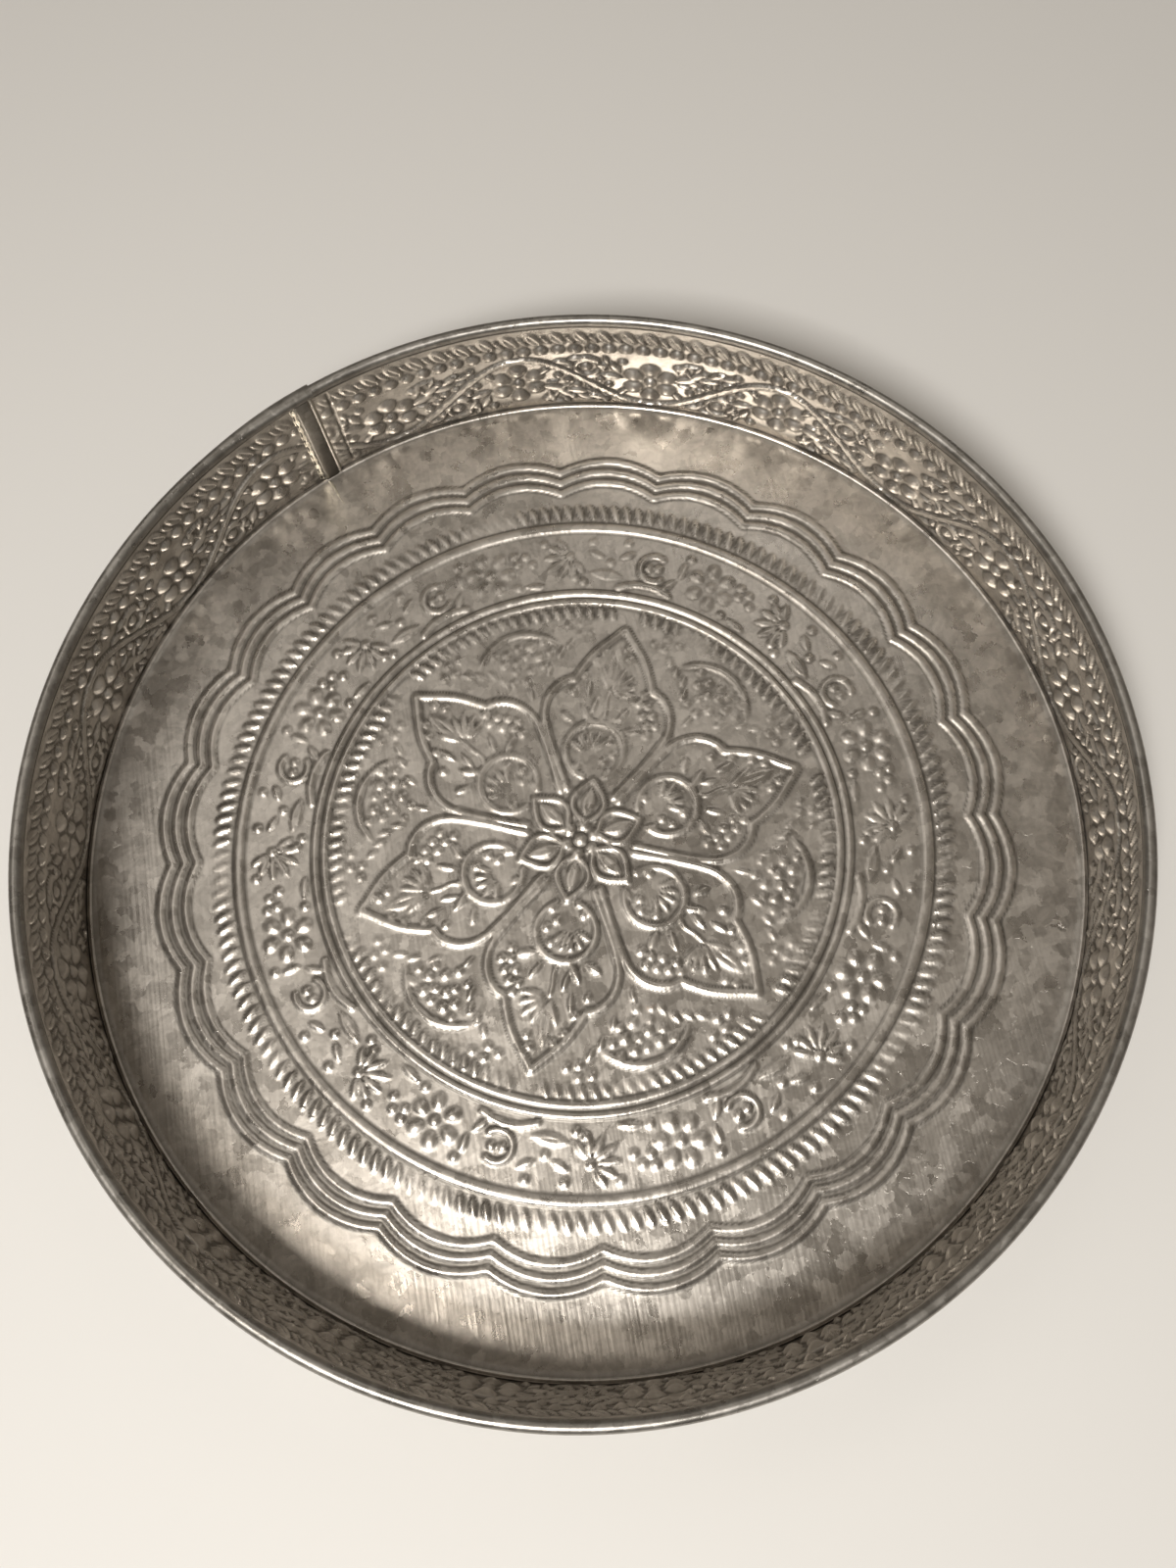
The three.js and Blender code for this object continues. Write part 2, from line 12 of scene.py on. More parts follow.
import bpy
import numpy as np
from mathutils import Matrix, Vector


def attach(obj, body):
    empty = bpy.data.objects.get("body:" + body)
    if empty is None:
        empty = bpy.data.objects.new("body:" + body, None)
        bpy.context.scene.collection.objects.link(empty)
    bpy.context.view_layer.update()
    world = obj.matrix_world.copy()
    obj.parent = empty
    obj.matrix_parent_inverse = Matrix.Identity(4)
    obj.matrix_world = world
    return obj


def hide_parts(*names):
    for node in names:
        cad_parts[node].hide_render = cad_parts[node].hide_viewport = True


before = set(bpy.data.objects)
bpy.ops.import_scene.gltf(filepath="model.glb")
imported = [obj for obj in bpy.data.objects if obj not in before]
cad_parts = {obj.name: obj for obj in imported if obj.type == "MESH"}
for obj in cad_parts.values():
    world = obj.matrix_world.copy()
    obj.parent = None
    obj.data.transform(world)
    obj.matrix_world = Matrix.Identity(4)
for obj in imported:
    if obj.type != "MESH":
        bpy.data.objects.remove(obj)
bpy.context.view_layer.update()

MM = 0.001
LOG = logging.getLogger("tray")

Array = np.ndarray
Outline = list[tuple[float, float]]
Piece = bpy.types.Object
Socket = bpy.types.NodeSocket
Material = bpy.types.Material


class Body(Enum):
    """The bodies of the frame that pieces ride on."""

    TRAY = "tray"
    RING = "ring"


class Slot(Enum):
    """The record's material slots."""

    FLOOR = "zinc_floor"
    WALL = "zinc_wall"
    WIRE = "rim_wire"
    SOLDER = "solder"
    HANGER = "hanger_steel"


@dataclass(frozen=True)
class TraySizes:
    """Sizes shared by the sub-assemblies, in millimetres and degrees."""

    rim_radius: float = 250.0
    sheet: float = 0.6
    wire_radius: float = 247.5
    wire_height: float = 73.5
    curl: float = 2.85
    rim_top: float = 76.25
    wall_inner: float = 245.0
    skirt_outer: float = 244.7
    skirt_foot: float = 0.9
    hem_outer: float = 243.8
    hem_height: float = 3.1
    floor_height: float = 6.4
    shoulder: float = 0.9
    neck: float = 70.3
    leaf_angle: float = 18.75
    seam_angle: float = 124.0
    seam_width: float = 6.5
    seam_slope: float = 1.5
    seam_foot: float = 7.0
    lap_reach: float = 4.2
    flare_length: float = 60.0

    @property
    def flat_radius(self) -> float:
        """Radius at which the floor starts to turn down."""
        return self.skirt_outer - self.shoulder

    def seam_degrees(self, along: float) -> float:
        """The angle in degrees of a place so many millimetres from the first edge of the seam's band."""
        return self.seam_angle + math.degrees((along - self.seam_width / 2) / self.wall_inner)


SIZES = TraySizes()


def wrap(angle: Array, period: float) -> Array:
    """Angles brought to within half a period of zero, all in degrees."""
    return (angle + period / 2) % period - period / 2


def polar(radius: float, degrees: float) -> tuple[float, float]:
    """The place at a distance and an angle from the middle."""
    turn = math.radians(degrees)
    return radius * math.cos(turn), radius * math.sin(turn)


def ease(share: Array) -> Array:
    """Shares from 0 to 1 that start and end softly."""
    return share * share * (3 - 2 * share)


def round_top(distance: Array, reach: float, height: float) -> Array:
    """Heights of a pressed round or line, which run out smoothly at the reach from its middle."""
    inside = np.clip(1.0 - (distance / reach) ** 2, 0.0, 1.0)
    return height * inside**1.2


def curve(points: Outline, steps: int) -> Outline:
    """A smooth line through a few places.

    Args:
        points: the places.
        steps: number of straight steps from each place to the next.

    Returns:
        The places on the line.
    """
    ends = [points[0], *points, points[-1]]
    line = [points[0]]
    for a, b, c, d in zip(ends, ends[1:], ends[2:], ends[3:]):
        for step in range(1, steps + 1):
            t = step / steps
            line.append(tuple(
                0.5 * (2 * q + (r - p) * t + (2 * p - 5 * q + 4 * r - s) * t**2
                       + (3 * q - p - 3 * r + s) * t**3)
                for p, q, r, s in zip(a, b, c, d)))
    return line


def follow(outline: Outline, share: Array) -> tuple[Array, Array]:
    """Places on an outline of equal steps, by how far they lie along it, from 0 to 1."""
    row, steps = share * (len(outline) - 1), np.arange(len(outline))
    return tuple(np.interp(row, steps, values) for values in zip(*outline))


def round_bend(x: float, y: float, radius: float, turns: Iterable[float]) -> Outline:
    """The places on a circle round a place, at the given angles in degrees."""
    return [(x + dx, y + dy) for dx, dy in (polar(radius, turn) for turn in turns)]


class Pressing:
    """Raised ornament on flat coordinates, gathered as one field of heights."""

    def __init__(self, x: Array, y: Array) -> None:
        """Starts a plain field.

        Args:
            x: first coordinate of each point.
            y: second coordinate of each point.
        """
        self.x = x
        self.y = y
        self.h = np.zeros_like(x)

    def _near(self, x: float, y: float, reach: float) -> Array:
        """Numbers of the points within reach of a place."""
        return np.nonzero((self.x - x) ** 2 + (self.y - y) ** 2 < reach * reach)[0]

    def _raise(self, index: Array, heights: Array) -> None:
        """Raises points to the given heights where they are lower."""
        self.h[index] = np.maximum(self.h[index], heights)

    def _turned(self, x: float, y: float, turn: float, length: float) -> tuple[Array, Array, Array]:
        """The points round a place, seen along a direction.

        Args:
            x: the place.
            y: the place.
            turn: the direction in degrees.
            length: how long a stretch is looked at.

        Returns:
            Numbers of the points, their share of half the length from -1 to 1, and their distance sideways.
        """
        near = self._near(x, y, length / 2)
        c, s = polar(1.0, turn)
        dx, dy = self.x[near] - x, self.y[near] - y
        return near, np.clip((dx * c + dy * s) / (length / 2), -1, 1), dy * c - dx * s

    def bead(self, x: float, y: float, radius: float, height: float = 1.0) -> None:
        """A round bead with a steep side.

        Args:
            x: place of its centre.
            y: place of its centre.
            radius: radius of its foot.
            height: height over the sheet.
        """
        near = self._near(x, y, radius)
        away = np.hypot(self.x[near] - x, self.y[near] - y)
        self._raise(near, height * np.clip(1 - (away / radius) ** 2, 0, 1) ** 0.9)

    def beads(self, radius: float, height: float, *places: tuple[float, float]) -> None:
        """Beads of one size at several places."""
        for place in places:
            self.bead(*place, radius, height)

    def leaf(self, x: float, y: float, turn: float, length: float, width: float,
             height: float = 0.9, belly: float = 0.0, vein: float = 0.0) -> None:
        """A pointed leaf, petal or dash.

        Args:
            x: place of its middle.
            y: place of its middle.
            turn: direction of its tip in degrees from the first coordinate.
            length: tip to tip.
            width: across the widest place.
            height: height over the sheet.
            belly: shifts the widest place towards the tip, from -0.9 to 0.9.
            vein: depth of the groove along the middle, as a share of the height.
        """
        near, along, side = self._turned(x, y, turn, length)
        across = np.abs(side)
        half = width / 2 * (1 - along**2) * (1 + belly * along) + 1e-6
        top = round_top(across, half, 1.0) * np.clip(1 - along**2, 0, 1) ** 0.35
        groove = vein * np.exp(-((across / (0.12 * width)) ** 2)) * (1 - along**2)
        self._raise(near, height * top * (1 - groove))

    def egg(self, x: float, y: float, turn: float, length: float, width: float, height: float = 1.4,
            belly: float = 0.2) -> None:
        """A full, egg-shaped petal.

        Args:
            x: place of its middle.
            y: place of its middle.
            turn: direction of its tip in degrees from the first coordinate.
            length: tip to tip.
            width: across the widest place.
            height: height over the sheet.
            belly: shifts the widest place towards the tip.
        """
        near, along, side = self._turned(x, y, turn, length)
        across = side / (width / 2 * (1 + belly * along))
        self._raise(near, round_top(np.hypot(along, across), 1.0, height))

    def line(self, distance: Array, reach: float, height: float, where: Optional[Array] = None) -> None:
        """A ridge along a line whose distance is known at every point.

        Args:
            distance: distance of every point from the line.
            reach: half the width of the ridge.
            height: height over the sheet.
            where: weight of the ridge at every point, from 0 to 1.
        """
        ridge = round_top(distance, reach, height)
        if where is not None:
            ridge = ridge * where
        np.maximum(self.h, ridge, out=self.h)

    def arc(self, x: float, y: float, radius: float, first: float, last: float,
            reach: float, height: float) -> None:
        """A ridge along part of a circle, with round ends.

        Args:
            x: place of the circle's centre.
            y: place of the circle's centre.
            radius: radius of the circle.
            first: angle at which it starts, in degrees.
            last: angle at which it ends, in degrees.
            reach: half the width of the ridge.
            height: height over the sheet.
        """
        near = self._near(x, y, radius + reach)
        dx, dy = self.x[near] - x, self.y[near] - y
        middle, half = (first + last) / 2, (last - first) / 2
        turn = np.abs(wrap(np.degrees(np.arctan2(dy, dx)) - middle, 360.0))
        over = np.radians(np.clip(turn - half, 0, 180)) * radius
        self._raise(near, round_top(np.hypot(np.hypot(dx, dy) - radius, over), reach, height))

    def stem(self, points: Outline, reach: float, height: float) -> None:
        """A ridge along a bent line.

        Args:
            points: places that the line goes through, as few as its bends need.
            reach: half the width of the ridge.
            height: height over the sheet.
        """
        for (ax, ay), (bx, by) in zip(points, points[1:]):
            length = math.hypot(bx - ax, by - ay)
            near = self._near((ax + bx) / 2, (ay + by) / 2, length / 2 + reach)
            dx, dy = self.x[near] - ax, self.y[near] - ay
            along = np.clip((dx * (bx - ax) + dy * (by - ay)) / length**2, 0, 1)
            away = np.hypot(dx - along * (bx - ax), dy - along * (by - ay))
            self._raise(near, round_top(away, reach, height))

    def flower(self, x: float, y: float, radius: float, turn: float, height: float = 1.3,
               fullness: float = 0.8) -> None:
        """A flower of six egg-shaped petals round a bead.

        Args:
            x: place of its centre.
            y: place of its centre.
            radius: radius to the tips of the petals.
            turn: direction of the first petal in degrees.
            height: height of the petals.
            fullness: width of a petal as a share of its length.
        """
        petal = radius * 0.69
        for angle in range(0, 360, 60):
            dx, dy = polar(radius - petal / 2, turn + angle)
            self.egg(x + dx, y + dy, turn + angle, petal, petal * fullness, height)
        self.bead(x, y, radius * 0.22, height * 0.9)


class Sectors:
    """Coordinates folded into one of the equal sectors of the tray's round."""

    def __init__(self, radius: Array, angle: Array, count: int, phase: float) -> None:
        """Folds the points.

        Args:
            radius: radius of every point.
            angle: angle of every point in degrees.
            count: number of sectors.
            phase: angle of the middle of one sector.
        """
        self.pitch = 360.0 / count
        self.turn = wrap(angle - phase, self.pitch)
        self.radius = radius

    def pressing(self) -> Pressing:
        """A plain field on the sector's own coordinates, with x outwards along its middle."""
        turn = np.radians(self.turn)
        return Pressing(self.radius * np.cos(turn), self.radius * np.sin(turn))


@dataclass(frozen=True)
class FloorPattern:
    """The floor's ornament, in millimetres from the middle of the tray."""

    leaf_angle: float = SIZES.leaf_angle
    petal_tip: float = 31.0
    leaf_tip: float = 113.0
    inner_ring: float = 129.0
    inner_ring_gap: float = 4.8
    outer_ring: float = 169.0
    flower_units: int = 8
    flower_radius: float = 149.5
    inner_dashes: int = 132
    outer_dashes: int = 180
    scallops: int = 24
    scallop_crest: float = 208.3
    scallop_rise: float = 6.6
    ridge_pitch: float = 6.2
    ridge_height: float = 1.4
    ridge_reach: float = 2.4
    pressing: float = 0.84

    def leaf_outline(self) -> Outline:
        """Half of a leaf's outline, from its tip by its notch to its root.

        Returns:
            Radius and angle from the leaf's axis in degrees at each place.
        """
        tip = curve([(self.leaf_tip, 0.0), (107.0, 2.7), (98.0, 7.6), (90.0, 11.2), (84.5, 13.5)], 4)
        lobe = curve([(84.5, 13.5), (83.6, 17.0), (80.4, 21.2), (75.0, 25.0), (67.0, 27.8), (56.0, 28.7),
                      (42.0, 28.2), (27.0, 26.4)], 4)
        return tip + lobe[1:]

    def petals(self, leaf: Sectors) -> Array:
        """The beads and the pointed petals in the middle.

        Args:
            leaf: the sectors of the leaves.

        Returns:
            Heights of the relief.
        """
        field_ = leaf.pressing()
        field_.bead(0, 0, 3.7, 1.8)
        field_.bead(7.2, 0, 3.7, 1.7)
        half = Pressing(field_.x, np.abs(field_.y))
        half.stem(curve([(9.5, 1.2), (12.5, 5.2), (17.5, 7.9), (23.0, 6.6), (self.petal_tip, 0.0)], 5),
                  2.0, self.ridge_height)
        field_.h = np.maximum(field_.h, half.h)
        field_.leaf(19.0, 0, 0, 17.0, 8.4, 1.5, vein=0.4)
        return field_.h

    def leaf_outlines(self, leaf: Sectors) -> Array:
        """The ridges round the leaves and between them.

        Args:
            leaf: the sectors of the leaves.

        Returns:
            Heights of the relief.
        """
        field_ = leaf.pressing()
        half = Pressing(field_.x, np.abs(field_.y))
        half.stem([polar(*place) for place in self.leaf_outline()], self.ridge_reach, self.ridge_height)
        return half.h

    def leaf_filling(self, leaf: Sectors) -> Array:
        """The pouch, fan, berries, sprig and sunburst inside each leaf.

        Args:
            leaf: the sectors of the leaves.

        Returns:
            Heights of the relief.
        """
        field_ = leaf.pressing()
        field_.arc(46, 2.5, 14.6, -150, 168, 2.1, 1.35)
        field_.beads(2.6, 1.3, (36.0, -5.8), (41.5, -3.0), (52.5, -3.5), (36.5, 9.5), (45.5, -7.0))
        for turn in range(-38, 63, 25):
            c, s = polar(1.0, turn)
            field_.leaf(42.5 + 9.0 * c, 4.5 + 8.0 * s, turn, 10.0, 3.7, 1.3)
        field_.beads(2.7, 1.4, (58.5, -21.5), (63.8, -20.5), (64.5, -25.0), (68.4, -17.2), (69.5, -22.4),
                     (74.2, -19.4), (74.6, -14.4), (79.4, -16.4))
        field_.leaf(59.5, -13.5, -70, 11.0, 5.0, 1.3, belly=0.3)
        field_.stem(curve([(60.5, 4.0), (66.0, 1.0), (72.0, 1.8), (77.0, 1.5)], 3), 1.3, 0.9)
        field_.leaf(63.5, 10.0, 38, 14.5, 5.0, 1.4, belly=0.3)
        field_.leaf(61.0, 19.5, 66, 10.0, 4.6, 1.3, belly=0.3)
        field_.leaf(69.5, 7.5, -8, 10.0, 4.0, 1.2)
        field_.leaf(66.5, -7.5, -30, 11.0, 4.2, 1.2, belly=0.3)
        field_.leaf(79.0, 12.0, 10, 10.0, 4.2, 1.3)
        field_.beads(2.5, 1.35, (75.0, 19.5), (84.5, 15.0), (97.5, -5.4), (102.4, -3.2), (99.0, 7.6),
                     (93.5, 11.4))
        for turn, length in ((-88, 12.5), (-66, 14.0), (-44, 14.5), (-22, 14.0), (27, 14.0)):
            dx, dy = polar(1.6 + length / 2, turn)
            field_.leaf(77.5 + dx, 1.0 + dy, turn, length, 4.3, 1.35)
        field_.leaf(91.0, 2.2, 4, 21.0, 8.4, 1.5, vein=0.75)
        return field_.h

    def between_leaves(self, gap: Sectors) -> Array:
        """The arcs between the leaves with the berries and dashes under them.

        Args:
            gap: the sectors between the leaves.

        Returns:
            Heights of the relief.
        """
        field_ = gap.pressing()
        near = np.clip((12.2 - np.abs(gap.turn)) / 2.4, 0, 1)
        arc = 113.0 - 9.0 * (np.abs(gap.turn) / 11.5) ** 2
        field_.line(np.abs(gap.radius - arc) / (0.45 + 0.55 * near), 2.3, 1.5, near**0.5)
        for radius, place, size in ((106.2, -7.8, 2.7), (104.6, -3.9, 3.0), (105.4, -0.6, 2.4),
                                    (104.2, 3.0, 2.9), (105.8, 6.6, 2.5), (99.8, -9.2, 2.3), (98.4, -5.8, 3.0),
                                    (100.2, -2.0, 2.5), (98.0, 1.0, 2.9), (99.6, 5.0, 2.6), (93.0, -6.6, 2.3),
                                    (92.2, -2.6, 2.9), (94.0, 2.4, 2.4), (86.6, -0.2, 2.7), (88.6, 4.4, 2.2)):
            field_.bead(*polar(radius, place), size, 0.5 * size)
        for place, radius, lean in ((9.4, 97.0, 20), (12.6, 99.5, 28), (15.6, 103.0, 36), (-12.4, 99.0, -24),
                                    (-15.4, 103.5, -34), (7.0, 91.0, 14), (-8.2, 90.8, -18)):
            field_.leaf(*polar(radius, place), place + lean, 7.6, 3.5, 1.3)
        for radius, degrees in ((113.4, 15.2), (108.4, 18.4), (114.2, 18.6), (109.6, 21.4)):
            field_.beads(2.4, 1.2, polar(radius, -degrees), polar(radius, degrees))
        field_.leaf(80.5, 0, 0, 8.0, 3.6, 1.2)
        return field_.h

    def _worn(self, x: Array, y: Array) -> Array:
        """How deep the small ornament is pressed at each place, from 0.45 to 1."""
        wave = np.sin(x * 0.071 - y * 0.043 + 2.0) * np.cos(y * 0.058 + x * 0.037)
        return np.clip(0.80 - 0.0013 * y + 0.17 * wave, 0.45, 1.0)

    def _strength(self, angle: Array, phase: float) -> Array:
        """How deep the dashes are pressed round the tray.

        Args:
            angle: places round the tray in degrees.
            phase: shifts the uneven places, in radians.

        Returns:
            Shares of the full depth, from 0.3 to 1.
        """
        turn = np.radians(angle)
        wave = np.sin(9 * turn + phase) * np.sin(4 * turn + 2 * phase) + 0.5 * np.sin(23 * turn - phase)
        return np.clip(0.85 + 0.55 * wave, 0.3, 1.0)

    def inner_border(self, leaf: Sectors, radius: Array, angle: Array) -> Array:
        """The inner row of dashes and the double ring round it.

        Args:
            leaf: the sectors of the leaves.
            radius: distances from the middle.
            angle: places round the tray in degrees.

        Returns:
            Heights of the relief.
        """
        dashes = Sectors(radius, angle, self.inner_dashes, self.leaf_angle + 1.36)
        field_ = dashes.pressing()
        field_.leaf(120.6, 0, 24, 9.6, 3.9, 1.45)
        field_.h *= self._strength(angle, 1.7)
        tip = np.clip((np.abs(leaf.turn) - 2.6) / 0.6, 0, 1)
        field_.h *= np.where(radius < 124.6, tip, 1.0)
        for side in (-1, 1):
            away = np.abs(radius - (self.inner_ring + side * self.inner_ring_gap / 2))
            field_.line(away, 2.1, 1.45)
        return field_.h

    def flower_band(self, unit: Sectors) -> Array:
        """The flowers, buds, pods and sprigs between the two double rings.

        Args:
            unit: the sectors of the flowers.

        Returns:
            Heights of the relief.
        """
        field_ = unit.pressing()
        for start in (0.0, -unit.pitch):
            self._flower_unit(field_, start)
        return field_.h

    def _flower_unit(self, field_: Pressing, start: float) -> None:
        """One flower with all that follows it up to the next.

        Args:
            field_: the field to press it into.
            start: angle of the flower in degrees.
        """
        def at(degrees: float, radius: float) -> tuple[float, float]:
            """The place at an angle from the flower and a distance from the middle."""
            return polar(radius, start + degrees)

        def leaf(degrees: float, radius: float, lean: float, *shape: float, **more: float) -> None:
            """A leaf at such a place, which leans away from the line outwards."""
            field_.leaf(*at(degrees, radius), start + degrees + lean, *shape, **more)

        field_.flower(*at(0, self.flower_radius), 13.6, start + 14, 1.6)
        field_.beads(2.5, 1.35, at(-5.7, 151.6), at(-7.4, 155.0), at(-5.3, 156.6), at(-4.6, 138.4),
                     at(5.6, 160.4), at(-8.6, 150.0), at(17.8, 161.4), at(24.4, 160.8), at(20.7, 149.4),
                     at(26.2, 138.0), at(28.0, 140.4), at(-11.4, 160.6))
        bud = at(12.0, 149.4)
        field_.arc(*bud, 7.2, start - 20, start + 235, 1.9, 1.4)
        field_.beads(2.6, 1.4, (bud[0] + 1.2, bud[1] - 2.4), (bud[0] - 0.6, bud[1] + 2.6))
        leaf(6.3, 152.4, 0, 10.5, 4.2, 1.3, belly=0.3)
        leaf(8.2, 142.6, -38, 10.0, 4.4, 1.35, vein=0.3)
        field_.stem(curve([at(7.4, 136.6), at(11.0, 138.8), at(15.0, 138.6), at(18.6, 135.8)], 4), 2.2, 1.3)
        leaf(21.4, 142.2, 84, 18.0, 7.0, 1.5, vein=0.55)
        leaf(17.6, 154.2, 120, 9.5, 4.2, 1.3)
        leaf(23.4, 153.4, 62, 9.5, 4.2, 1.3)
        sprig = at(28.8, 152.6)
        for number in range(7):
            turn = start + 28.8 + 214 - 30 * number
            length = 13.5 - 1.1 * abs(number - 3)
            dx, dy = polar(2.4 + length / 2, turn)
            field_.leaf(sprig[0] + dx, sprig[1] + dy, turn, length, 4.4, 1.4, vein=0.25)
        field_.bead(*sprig, 2.6, 1.4)
        leaf(36.6, 137.2, 82, 12.0, 4.4, 1.3)

    def outer_border(self, radius: Array, angle: Array) -> Array:
        """The outer double ring, its row of dashes and the scalloped ridges.

        Args:
            radius: distances from the middle.
            angle: places round the tray in degrees.

        Returns:
            Heights of the relief.
        """
        dashes = Sectors(radius, angle, self.outer_dashes, 0.7)
        field_ = dashes.pressing()
        field_.leaf(177.8, 0, 21, 10.8, 4.3, 1.5, belly=0.2)
        field_.h *= self._strength(angle, 0.4)
        away = np.abs(radius - self.outer_ring)
        field_.line(np.clip(away - 0.8, 0, None), 2.2, 1.4)
        pitch = 360.0 / self.scallops
        cusp = wrap(angle - self.leaf_angle, pitch)
        share = np.abs(cusp) / (pitch / 2)
        bow = self.scallop_rise * (1 - (1 - share) ** 2.0)
        steep = self.scallop_rise * 2 * (1 - share) / math.radians(pitch / 2) / self.scallop_crest
        for ridge in range(3):
            edge = self.scallop_crest - self.scallop_rise + bow - ridge * self.ridge_pitch
            away = np.abs(radius - edge) / np.sqrt(1 + steep**2)
            field_.line(away, self.ridge_reach, self.ridge_height)
        return field_.h

    def heights(self, x: Array, y: Array) -> Array:
        """The floor's relief.

        Args:
            x: places in millimetres.
            y: places in millimetres.

        Returns:
            Heights over the plain floor in millimetres.
        """
        radius = np.hypot(x, y)
        angle = np.degrees(np.arctan2(y, x))
        leaf = Sectors(radius, angle, 6, self.leaf_angle)
        height = np.zeros_like(radius)
        if radius.min() < self.inner_ring:
            gap = Sectors(radius, angle, 6, self.leaf_angle + 30)
            radii, turns = zip(*self.leaf_outline())
            inside = radius < np.interp(np.abs(leaf.turn), turns[:-12], radii[:-12]) - 1.5
            height = np.maximum(height, self.petals(leaf))
            height = np.maximum(height, self.leaf_outlines(leaf))
            filling = np.where(inside, self.leaf_filling(leaf), self.between_leaves(gap))
            height = np.maximum(height, filling * self._worn(x, y))
        if radius.min() < self.inner_ring + 5 and radius.max() > self.leaf_tip:
            height = np.maximum(height, self.inner_border(leaf, radius, angle))
        if radius.max() > self.inner_ring and radius.min() < self.outer_ring:
            unit = Sectors(radius, angle, self.flower_units, self.leaf_angle)
            band = (radius > self.inner_ring + 3) & (radius < self.outer_ring - 3)
            height = np.maximum(height, np.where(band, self.flower_band(unit), 0.0) * self._worn(x, y) ** 0.6)
        if radius.max() > self.outer_ring - 5:
            height = np.maximum(height, self.outer_border(radius, angle))
        press = 0.88 + 0.12 * np.sin(x * 0.031 + 1.2) * np.cos(y * 0.027 + 0.9)
        sag = 0.12 * np.sin(x * 0.021 + 0.5) * np.sin(y * 0.017 + 1.9)
        edge = np.clip((SIZES.flat_radius - radius) / 25.0, 0, 1)
        return height * press * self.pressing + sag * edge


